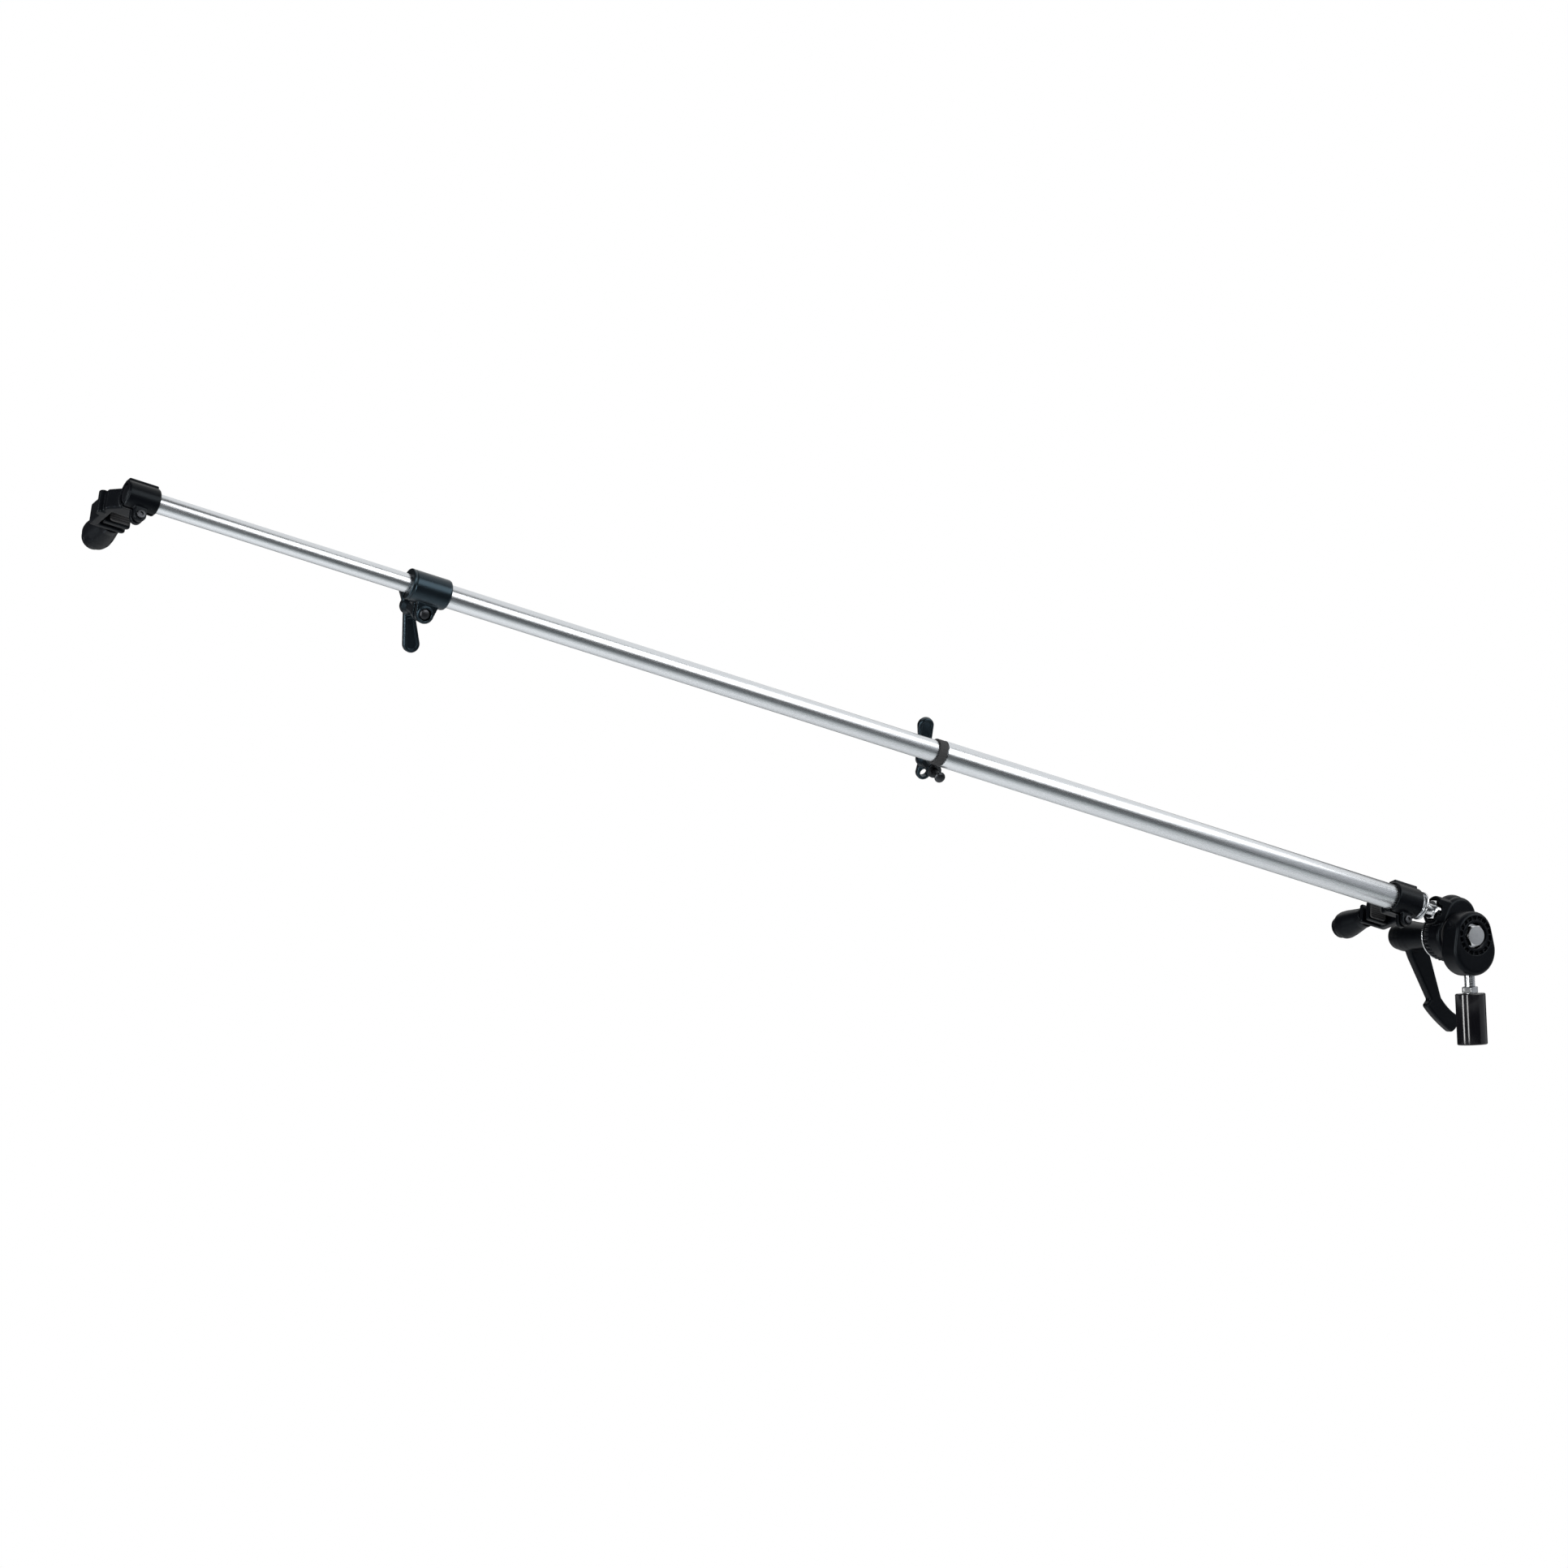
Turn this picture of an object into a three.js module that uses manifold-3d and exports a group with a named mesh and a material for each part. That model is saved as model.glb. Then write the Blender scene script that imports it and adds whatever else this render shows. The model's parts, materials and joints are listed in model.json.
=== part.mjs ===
// Telescopic holder arm that grips a round disc by its rim, in millimetres, +Z up.
// Origin: centre of the socket's mouth. The arm rises towards -X and its tilt axis lies along Y.
// A tilting head joins the socket to a three-section tube, which carries one rim gripper at each end.
import * as THREE from 'three';
import { mergeVertices } from 'three/addons/utils/BufferGeometryUtils.js';
import Module from 'manifold-3d';

const wasm = await Module();
wasm.setup();

// Clearances, cut overruns and small finishes that all pieces share
const fitGap = 0.3;
const slideGap = 0.25;
const cutOverrun = 2;
const weldReach = 0.6;
const vertexMerge = 0.001;

// How many flats a round gets
const largeFacets = 22;
const mediumFacets = 14;
const smallFacets = 10;
const arcFacets = 5;
const hexSides = 6;
const bevelSteps = 2;
const coilSteps = 8;
const coilSides = 6;
const domeSteps = 3;
const cornerFacets = 2;

// Socket that slips over a 16 mm spigot
const socketRadius = 13.25;
const socketHeight = 45;
const socketBoreRadius = 8.15;
const socketBoreDepth = 36;
const socketChamfer = 0.8;
const setScrewRadius = 3;
const setScrewHeight = 14;
const setScrewKeyFlats = 3;
const setScrewKeyDepth = 2.5;

// Threaded stud between the socket and the head, with its lock nut
const headStudRadius = 4.75;
const headStudEngagement = 6;
const headStudChamfer = 0.7;
const studNutFlats = 13;
const studNutHeight = 5.6;

// Lower half of the head, on the near side of the tilt joint
const pivotHeight = 95.5;
const baseTopRadius = 19.5;
const baseTopRise = 1.75;
const baseFootRadius = 22.3;
const baseFootDrop = 12.9;
const baseNearFace = 12;
const baseFarFace = 12;
const baseEdgeRound = 4;
const nutWellRadius = 11.4;
const nutWellWall = 2.4;
const nutWellFloor = 6;
const pocketRadius = 17.2;
const pocketDepth = 3.4;
const ribCount = 18;
const ribWidth = 1.5;
const ribSink = 0.8;

// Pivot bolt, its washer and the friction disc between the halves
const boltRadius = 4;
const boltHeadFlats = 17;
const boltHeadHeight = 5.2;
const boltWasherRadius = 10.4;
const boltWasherThickness = 1.2;
const frictionDiscRadius = 18.5;
const frictionDiscThickness = 1;

// Upper half of the head, on the far side, which carries the arm
const armTilt = 17;
const knuckleDiscRadius = 22.3;
const knuckleTopRadius = 17.5;
const knuckleDepth = 24;
const knuckleEdgeRound = 3;
const knuckleDomeRadius = 19.4;
const knuckleDomeHalfDepth = 11.8;
const knuckleDomeStation = 1.5;
const armOffset = 17;
const armPlane = 23;
const knuckleNeckRadius = 13;
const knuckleNeckEnd = 21.6;
const rimTeeth = 36;
const rimToothDepth = 1;
const rimBandWidth = 5;
const rimBandInset = 3.4;

// Stud that holds the arm to the head, with its nut and flange washer
const armStudRadius = 4.75;
const armStudEngagement = 11;
const armNutFlats = 16;
const armNutHeight = 5.5;
const flangeRadius = 12.6;
const flangeThickness = 1.8;
const flangeStation = 39;
const flangeChamfer = 0.45;
const plugLength = 27;

// Clamp lever behind the head: a washer, then a splined insert with a lift-and-turn handle
const leverWasherRadius = 20.8;
const leverWasherThickness = 1.6;
const leverWasherChamfer = 0.4;
const insertNeckRadius = 5.6;
const insertNeckEnd = 68;
const insertSplineRadius = 7.2;
const insertSplineDepth = 0.9;
const insertSplineTeeth = 12;
const insertSplineLength = 9;
const boltEngagement = 13;
const capScrewRadius = 2.2;
const capScrewHeadRadius = 4.1;
const capScrewHeadHeight = 2.4;
const capScrewReach = 7;
const capScrewDepth = 5;
const springCoilRadius = 3.6;
const springWireRadius = 0.45;
const springTurns = 3.5;
const hubStart = 51;
const hubMouthRadius = 10.5;
const hubWaistRadius = 13;
const hubWaistStation = 75;
const hubCrestRadius = 14;
const hubCrestStation = 84;
const hubShoulderRadius = 12.2;
const hubShoulderStation = 97;
const hubEnd = 105;
const hubWellEnd = 95;
const leverLift = 5;
const leverPlane = 80;
const leverThickness = 9;
const leverEdgeRound = 1.6;
const leverLean = 20;
const leverRootHalf = 10;
const leverRootReach = 17;
const leverNeckHalf = 5.8;
const leverNeckReach = 59;
const leverStep = 11.7;
const leverStepReach = 62;
const leverFootReach = 95;
const leverFootSwing = 14;
const leverHeelReach = 77;
const leverHeelSwing = 4;
const leverToeReach = 84;
const leverToeSwing = 17;

// Telescopic tubes, measured outwards from the foot of the tilt axis
const outerTubeRadius = 11;
const tubeWall = 1.5;
const outerTubeStart = 41.3;
const innerEndGlide = 2;
const glideInsert = 11;
const glideWall = 1.6;
const middleTubeLength = 560;
const innerTubeLength = 520;
const capThickness = 2.2;
const capInsert = 9;
const tubeEndInGripper = 24;

// Lengths of tube that show between the fittings
const headGripperStart = 42;
const headGripperLength = 30;
const outerTubeShown = 451;
const middleTubeShown = 451;
const innerTubeShown = 212;
const tipGripperLength = 26;

// Split clamp collars with their bushes, bolts and wing knobs
const rootCollarLength = 30;
const tipCollarLength = 34;
const collarWall = 2.7;
const collarSeat = 20;
const collarBushWall = 1.2;
const collarLip = 2;
const collarRim = 1.6;
const collarSlit = 2.6;
const collarSlitStart = 5;
const earHalfThickness = 6.5;
const earRadius = 7.4;
const earDrop = 18.6;
const earStation = 14.5;
const earRootHalf = 10.5;
const earHeadWell = 2.2;
const collarBoltRadius = 2.6;
const collarBoltHeadRadius = 4.6;
const collarBoltHeadHeight = 2.6;
const collarBoltHeadRim = 1;
const collarWasherRadius = 6;
const collarWasherThickness = 1;
const rootCollarTurn = -28;
const tipCollarTurn = -15;

// Wing knob: one long paddle and one short pierced loop on a waisted hub
const knobHubFootRadius = 6.4;
const knobHubWaistRadius = 5;
const knobHubHeadRadius = 7;
const knobHubLength = 27;
const knobInsertDepth = 20;
const wingThickness = 6;
const wingEdgeRound = 1.4;
const wingReach = 37.5;
const wingTipRadius = 6.8;
const wingRootHalf = 4;
const wingDishDepth = 1.1;
const wingDishMargin = 2.4;
const loopReach = 18.5;
const loopTipRadius = 6.4;
const loopHoleRadius = 3.6;
const rootWingAngle = 204;
const tipWingAngle = 24;

// Rim grippers: a split sleeve with a C frame, and a jaw that a knob draws along
const gripLean = 15.2;
const sleeveWall = 2.9;
const sleeveRim = 1;
const ledgeHalf = 4.4;
const ledgeHeight = 1.3;
const gripLugHalf = 5;
const gripLugDrop = 9.8;
const gripLugThickness = 5.4;
const gripSlit = 2.4;
const lugScrewRadius = 1.8;
const lugScrewHeadRadius = 3.4;
const lugScrewHeadHeight = 2;
const lugScrewChamfer = 0.5;
const jawHalfWidth = 9.4;
const jawHalfHeight = 8.4;
const frameRootDepth = 6;
const fixedJawFace = 21;
const padThickness = 2;
const padMargin = 1.4;
const padRound = 2;
const slotGap = 12;
const beamInner = 12.4;
const beamThickness = 7;
const frameCorner = 3;
const frameBevel = 1;
const hingeBossRadius = 3.75;
const hingeBossDepth = 26.5;
const hingeBossProud = 0.9;
const jawThickness = 5.4;
const endPlateNear = 47;
const endPlateThickness = 5;
const endBossRadius = 6.6;
const endBossHeight = 3.4;
const rodRadius = 3;
const rodSink = 3.4;
const rodEnd = 76;
const knobFootRadius = 9.2;
const knobBellyRadius = 12.3;
const knobEndRadius = 9.6;
const knobEndFlat = 4.8;
const knobEndRound = 1.6;
const knobRingWidth = 4;
const knobRingStep = 0.8;
const knobWaistShare = 0.16;
const knobBellyShare = 0.72;
const knobEnd = 91;
const knobBoreEnd = 84;

// Sizes worked out from the ones above
const middleTubeRadius = outerTubeRadius - tubeWall - slideGap;
const innerTubeRadius = middleTubeRadius - tubeWall - slideGap;
const rootCollarStart = headGripperStart + headGripperLength + outerTubeShown;
const tipCollarStart = rootCollarStart + rootCollarLength + middleTubeShown;
const tipGripperStart = tipCollarStart + tipCollarLength + innerTubeShown;
const outerTubeEnd = rootCollarStart + collarSeat - fitGap;
const middleTubeEnd = tipCollarStart + collarSeat - fitGap;
const innerTubeEnd = tipGripperStart + tubeEndInGripper;
const knuckleNear = baseFarFace + frictionDiscThickness + 2 * fitGap;
const knuckleFar = knuckleNear + knuckleDepth;
const studTop = pivotHeight - baseFootDrop - baseFootRadius + headStudEngagement;

const finishes = {
  blackMoulding: new THREE.MeshStandardMaterial({ color: 0x15171a, roughness: 0.5, metalness: 0 }),
  blackGloss: new THREE.MeshStandardMaterial({ color: 0x090a0d, roughness: 0.18, metalness: 0.2 }),
  blackRubber: new THREE.MeshStandardMaterial({ color: 0x1a1b1c, roughness: 0.85, metalness: 0 }),
  chrome: new THREE.MeshStandardMaterial({ color: 0xd8dadc, roughness: 0.15, metalness: 1 }),
  zincSteel: new THREE.MeshStandardMaterial({ color: 0x3a3c40, roughness: 0.35, metalness: 1 }),
  satinAluminium: new THREE.MeshStandardMaterial({ color: 0xc9cdd0, roughness: 0.3, metalness: 1 }),
};

// A closed geometry as a solid that can be joined and cut, with its faces pointing out
function solidFrom(geometry) {
  const loose = geometry.index ? geometry.toNonIndexed() : geometry.clone();
  loose.deleteAttribute('normal');
  loose.deleteAttribute('uv');
  const merged = mergeVertices(loose, vertexMerge);
  const build = (triVerts) => new wasm.Manifold(
    new wasm.Mesh({ numProp: 3, vertProperties: merged.attributes.position.array, triVerts }),
  );
  const triVerts = new Uint32Array(merged.index.array);
  const solid = build(triVerts);
  if (solid.volume() >= 0) return solid;
  for (let i = 0; i < triVerts.length; i += 3) {
    [triVerts[i + 1], triVerts[i + 2]] = [triVerts[i + 2], triVerts[i + 1]];
  }
  return build(triVerts);
}

// The geometry of a joined and cut solid
function geometryOf(solid) {
  const { vertProperties, numProp, triVerts } = solid.getMesh();
  const positions = new Float32Array((vertProperties.length / numProp) * 3);
  for (let i = 0; i < positions.length / 3; i += 1) {
    positions.set(vertProperties.subarray(i * numProp, i * numProp + 3), i * 3);
  }
  const indexed = new THREE.BufferGeometry();
  indexed.setAttribute('position', new THREE.BufferAttribute(positions, 3));
  indexed.setIndex(new THREE.BufferAttribute(new Uint32Array(triVerts), 1));
  const faceted = indexed.toNonIndexed();
  faceted.computeVertexNormals();
  return faceted;
}

function joined(...solids) {
  return solids.reduce((whole, next) => whole.add(next));
}

function cut(solid, ...tools) {
  return tools.reduce((left, tool) => left.subtract(tool), solid);
}

function addPiece(parent, name, solid, finish) {
  const mesh = new THREE.Mesh(geometryOf(solid), finish);
  mesh.name = name;
  parent.add(mesh);
  return mesh;
}

// Turns a geometry that was made around Y so that its axis lies along x, y or z
function alongAxis(geometry, axis) {
  if (axis === 'x') geometry.rotateZ(-Math.PI / 2);
  if (axis === 'z') geometry.rotateX(Math.PI / 2);
  return geometry;
}

// A turned piece: profile holds [radius, station] pairs along the axis
function turned(axis, profile, facets = mediumFacets) {
  const points = profile.map(([radius, station]) => new THREE.Vector2(radius, station));
  return alongAxis(new THREE.LatheGeometry(points, facets), axis);
}

// A turned solid bar whose profile starts and ends on the axis
function bar(axis, profile, facets) {
  const first = profile[0][1];
  const last = profile[profile.length - 1][1];
  return turned(axis, [[0, first], ...profile, [0, last]], facets);
}

function cylinder(axis, radius, from, to, facets = mediumFacets) {
  return bar(axis, [[radius, from], [radius, to]], facets);
}

// The points of a rounded end, from the full radius at one station to the axis at another
function dome(radius, from, to) {
  const points = [];
  for (let i = 0; i < domeSteps; i += 1) {
    const angle = (i / domeSteps) * (Math.PI / 2);
    points.push([radius * Math.cos(angle), from + (to - from) * Math.sin(angle)]);
  }
  return [...points, [0, to]];
}

// A ring or sleeve: an outer and an inner radius between two stations
function ring(axis, outer, inner, from, to, facets = mediumFacets) {
  return turned(axis, [[inner, from], [outer, from], [outer, to], [inner, to], [inner, from]], facets);
}

// A bar with both ends chamfered
function chamferedBar(axis, radius, from, to, chamfer, facets = mediumFacets) {
  const start = [[radius - chamfer, from], [radius, from + chamfer]];
  const end = [[radius, to - chamfer], [radius - chamfer, to]];
  return bar(axis, [...start, ...end], facets);
}

// A flat outline given thickness along Z between two stations, with rounded edges if round is set
function plate(outline, from, to, round = 0, facets = arcFacets) {
  const geometry = new THREE.ExtrudeGeometry(outline, {
    depth: to - from - 2 * round,
    bevelEnabled: round > 0,
    bevelThickness: round,
    bevelSize: round,
    bevelOffset: -round,
    bevelSegments: bevelSteps,
    curveSegments: facets,
  });
  return geometry.translate(0, 0, from + round);
}

// The same plate with the outline's second coordinate along Z and the thickness along Y
function plateAcrossY(outline, from, to, round, facets) {
  return plate(outline, -to, -from, round, facets).rotateX(Math.PI / 2);
}

function hexagon(flats) {
  const corner = flats / Math.sqrt(3);
  const points = [];
  for (let i = 0; i < hexSides; i += 1) {
    const angle = (i / hexSides) * 2 * Math.PI;
    points.push(new THREE.Vector2(corner * Math.cos(angle), corner * Math.sin(angle)));
  }
  return new THREE.Shape(points);
}

// A hexagonal bar along the axis, with its corners turned off at both ends
function hexBar(axis, flats, from, to) {
  const corner = flats / Math.sqrt(3);
  const chamfer = corner - flats / 2;
  const prism = plate(hexagon(flats), from, to).rotateX(-Math.PI / 2);
  const turning = chamferedBar('y', corner, from, to, chamfer, mediumFacets);
  return solidFrom(alongAxis(prism, axis)).intersect(solidFrom(alongAxis(turning, axis)));
}

// The outline around two circles on the second axis, the first one higher
function capsuleOutline(upperRadius, upperAt, lowerRadius, lowerAt) {
  const lean = Math.asin((lowerRadius - upperRadius) / (upperAt - lowerAt));
  const outline = new THREE.Shape();
  outline.absarc(0, upperAt, upperRadius, lean, Math.PI - lean, false);
  outline.absarc(0, lowerAt, lowerRadius, Math.PI - lean, 2 * Math.PI + lean, false);
  return outline;
}

// A round outline with shallow teeth all the way round
function toothedOutline(tipRadius, toothDepth, teeth) {
  const outline = [];
  const quarter = Math.PI / (2 * teeth);
  for (let i = 0; i < teeth; i += 1) {
    const middle = (i / teeth) * 2 * Math.PI;
    const corners = [[tipRadius - toothDepth, -3], [tipRadius, -1], [tipRadius, 1]];
    for (const [radius, steps] of corners) {
      const angle = middle + steps * quarter;
      outline.push(new THREE.Vector2(radius * Math.cos(angle), radius * Math.sin(angle)));
    }
  }
  return new THREE.Shape(outline);
}

function box(x, y, z, centre) {
  return new THREE.BoxGeometry(x, y, z).translate(...centre);
}

function rectangleOutline(halfWidth, halfHeight, round) {
  const outline = new THREE.Shape();
  outline.absarc(halfWidth - round, halfHeight - round, round, 0, Math.PI / 2, false);
  outline.absarc(-halfWidth + round, halfHeight - round, round, Math.PI / 2, Math.PI, false);
  outline.absarc(-halfWidth + round, -halfHeight + round, round, Math.PI, 1.5 * Math.PI, false);
  outline.absarc(halfWidth - round, -halfHeight + round, round, 1.5 * Math.PI, 2 * Math.PI, false);
  return outline;
}

// Stand socket, its set screw and the stud that carries the head
function makeSocket(parent) {
  const studHole = headStudRadius + fitGap;
  const body = solidFrom(turned('z', [
    [studHole, socketBoreDepth],
    [socketBoreRadius, socketBoreDepth],
    [socketBoreRadius, socketChamfer],
    [socketBoreRadius + socketChamfer, 0],
    [socketRadius - socketChamfer, 0],
    [socketRadius, socketChamfer],
    [socketRadius, socketHeight - socketChamfer],
    [socketRadius - socketChamfer, socketHeight],
    [studHole, socketHeight],
    [studHole, socketBoreDepth],
  ], largeFacets));
  const screwHole = cylinder('y', setScrewRadius + fitGap, 0, socketRadius + cutOverrun, smallFacets);
  const socket = cut(body, solidFrom(screwHole.translate(0, 0, setScrewHeight)));
  addPiece(parent, 'stand_socket', socket, finishes.blackGloss);

  const screwIn = socketBoreRadius + fitGap;
  const screwOut = socketRadius - fitGap;
  const key = plate(hexagon(setScrewKeyFlats), 0, setScrewKeyDepth + cutOverrun).rotateX(-Math.PI / 2);
  key.translate(0, screwOut - setScrewKeyDepth, setScrewHeight);
  const shank = cylinder('y', setScrewRadius, screwIn, screwOut, smallFacets);
  shank.translate(0, 0, setScrewHeight);
  addPiece(parent, 'socket_set_screw', cut(solidFrom(shank), solidFrom(key)), finishes.zincSteel);

  const stud = chamferedBar('z', headStudRadius, socketBoreDepth + fitGap, studTop, headStudChamfer);
  addPiece(parent, 'head_stud', solidFrom(stud), finishes.chrome);

  const nutFoot = socketHeight + fitGap;
  const nutHole = cylinder('z', studHole, socketHeight - cutOverrun, nutFoot + studNutHeight + cutOverrun);
  const nut = cut(hexBar('z', studNutFlats, nutFoot, nutFoot + studNutHeight), solidFrom(nutHole));
  addPiece(parent, 'stud_nut', nut, finishes.chrome);
}

// Near half of the head: a thick rounded capsule with a ribbed pocket round the bolt head's well
function makeTiltBase(parent) {
  const outline = capsuleOutline(baseTopRadius, baseTopRise, baseFootRadius, -baseFootDrop);
  const body = solidFrom(plateAcrossY(outline, -baseNearFace, baseFarFace, baseEdgeRound));
  const wellOuter = nutWellRadius + nutWellWall;
  const beyondFace = -baseNearFace - cutOverrun;
  const pocketFloor = -baseNearFace + pocketDepth;
  const well = solidFrom(cylinder('y', nutWellRadius, beyondFace, -nutWellFloor, largeFacets));
  const pocket = solidFrom(ring('y', pocketRadius, wellOuter, beyondFace, pocketFloor, largeFacets));
  let base = cut(body, well, pocket);
  const ribHeight = pocketDepth - ribSink + weldReach;
  for (let i = 0; i < ribCount; i += 1) {
    const rib = box(pocketRadius - wellOuter + 2 * weldReach, ribHeight, ribWidth, [
      (pocketRadius + wellOuter) / 2, pocketFloor + weldReach - ribHeight / 2, 0,
    ]);
    rib.rotateY((i / ribCount) * 2 * Math.PI);
    base = base.add(solidFrom(rib));
  }
  const boltHole = cylinder('y', boltRadius + fitGap, beyondFace, baseFarFace + cutOverrun);
  const studFoot = -baseFootDrop - baseFootRadius;
  const studHole = cylinder(
    'z', headStudRadius + fitGap, studFoot - cutOverrun, studFoot + headStudEngagement + fitGap,
  );
  base = cut(base, solidFrom(boltHole), solidFrom(studHole));
  addPiece(parent, 'tilt_base', base, finishes.blackMoulding);

  const discNear = baseFarFace + fitGap;
  const disc = ring(
    'y', frictionDiscRadius, boltRadius + fitGap, discNear, discNear + frictionDiscThickness, largeFacets,
  );
  addPiece(parent, 'friction_disc', solidFrom(disc), finishes.blackRubber);

  const washerBack = -nutWellFloor - fitGap;
  const washerFront = washerBack - boltWasherThickness;
  const washer = ring('y', boltWasherRadius, boltRadius + fitGap, washerFront, washerBack);
  addPiece(parent, 'bolt_washer', solidFrom(washer), finishes.chrome);

  const headBack = washerFront - fitGap;
  const headFront = headBack - boltHeadHeight;
  const boltEnd = insertNeckEnd - boltEngagement;
  const shank = solidFrom(chamferedBar('y', boltRadius, headBack - weldReach, boltEnd, headStudChamfer));
  const bolt = hexBar('y', boltHeadFlats, headFront, headBack).add(shank);
  addPiece(parent, 'pivot_bolt', bolt, finishes.chrome);
}

// Clamp lever: washer, splined insert on the bolt, cap screw, spring and the handle over them
function makeLever(parent) {
  const washerNear = knuckleFar + fitGap;
  const washerFar = washerNear + leverWasherThickness;
  const washer = chamferedBar(
    'y', leverWasherRadius, washerNear, washerFar, leverWasherChamfer, largeFacets,
  );
  const washerHole = cylinder('y', boltRadius + fitGap, washerNear - cutOverrun, washerFar + cutOverrun);
  addPiece(parent, 'lever_washer', cut(solidFrom(washer), solidFrom(washerHole)), finishes.chrome);

  const neckStart = washerFar + fitGap;
  const splineEnd = insertNeckEnd + insertSplineLength;
  const neck = solidFrom(cylinder('y', insertNeckRadius, neckStart, splineEnd));
  const spline = solidFrom(plateAcrossY(
    toothedOutline(insertSplineRadius, insertSplineDepth, insertSplineTeeth), insertNeckEnd, splineEnd, 0,
  ));
  const threadHole = cylinder('y', boltRadius + fitGap, neckStart - cutOverrun, insertNeckEnd - cutOverrun);
  const capHole = cylinder(
    'y', capScrewRadius + fitGap, splineEnd - capScrewDepth - fitGap, splineEnd + cutOverrun,
  );
  const insert = cut(neck.add(spline), solidFrom(threadHole), solidFrom(capHole));
  addPiece(parent, 'lever_insert', insert, finishes.zincSteel);

  const capFoot = splineEnd + capScrewReach;
  const capShank = solidFrom(cylinder(
    'y', capScrewRadius, splineEnd - capScrewDepth, capFoot + weldReach, smallFacets,
  ));
  const capHead = solidFrom(chamferedBar(
    'y', capScrewHeadRadius, capFoot, capFoot + capScrewHeadHeight, headStudChamfer, smallFacets,
  ));
  addPiece(parent, 'lever_cap_screw', capShank.add(capHead), finishes.zincSteel);

  addPiece(parent, 'lever_spring', solidFrom(coil(
    springCoilRadius, springWireRadius, springTurns,
    splineEnd + fitGap + springWireRadius, capFoot - fitGap - springWireRadius,
  )), finishes.zincSteel);

  // The lever's teeth are no longer than its lift, so lifting it frees them from the insert's
  const wellRadius = insertSplineRadius + fitGap;
  const teethNear = splineEnd - leverLift;
  const teethFar = splineEnd - fitGap;
  const nearBore = solidFrom(cylinder('y', wellRadius, hubStart - cutOverrun, teethNear, largeFacets));
  const farBore = solidFrom(cylinder('y', wellRadius, teethFar, hubWellEnd, largeFacets));
  const toothedBore = solidFrom(plateAcrossY(
    toothedOutline(wellRadius, insertSplineDepth, insertSplineTeeth),
    teethNear - weldReach, teethFar + weldReach, 0,
  ));
  const hub = solidFrom(turned('y', [
    [0, hubStart],
    [hubMouthRadius, hubStart],
    [hubWaistRadius, hubWaistStation],
    [hubCrestRadius, hubCrestStation],
    ...dome(hubShoulderRadius, hubShoulderStation, hubEnd),
  ], largeFacets));
  const handle = solidFrom(plateAcrossY(
    leverOutline(), leverPlane - leverThickness / 2, leverPlane + leverThickness / 2, leverEdgeRound,
  ).rotateY(THREE.MathUtils.degToRad(-leverLean)));
  const lever = cut(hub.add(handle), nearBore, toothedBore, farBore);
  addPiece(parent, 'ratchet_lever', lever, finishes.blackMoulding);
}

// A helical wire along Y, in straight steps
function coil(radius, wireRadius, turns, from, to) {
  class Helix extends THREE.Curve {
    getPoint(share, target = new THREE.Vector3()) {
      const angle = share * turns * 2 * Math.PI;
      return target.set(radius * Math.cos(angle), from + share * (to - from), radius * Math.sin(angle));
    }
  }
  const section = new THREE.Shape();
  section.absarc(0, 0, wireRadius, 0, 2 * Math.PI, false);
  return new THREE.ExtrudeGeometry(section, {
    steps: Math.round(turns * coilSteps),
    curveSegments: coilSides / 2,
    extrudePath: new Helix(),
    bevelEnabled: false,
  });
}

// Side view of the handle, hanging from the pivot with its curled foot towards +X
function leverOutline() {
  const outline = new THREE.Shape();
  outline.moveTo(-leverRootHalf, 0);
  outline.lineTo(-leverRootHalf, -leverRootReach);
  outline.lineTo(-leverNeckHalf, -leverNeckReach);
  outline.lineTo(-leverStep, -leverStepReach);
  outline.quadraticCurveTo(-leverStep + leverHeelSwing, -leverHeelReach, leverHeelSwing, -leverFootReach);
  outline.quadraticCurveTo(leverFootSwing, -leverFootReach, leverToeSwing, -leverToeReach);
  outline.quadraticCurveTo(leverHeelSwing + leverNeckHalf, -leverHeelReach, leverNeckHalf, -leverStepReach);
  outline.lineTo(leverRootHalf, -leverRootReach);
  outline.lineTo(leverRootHalf, 0);
  return outline;
}

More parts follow.
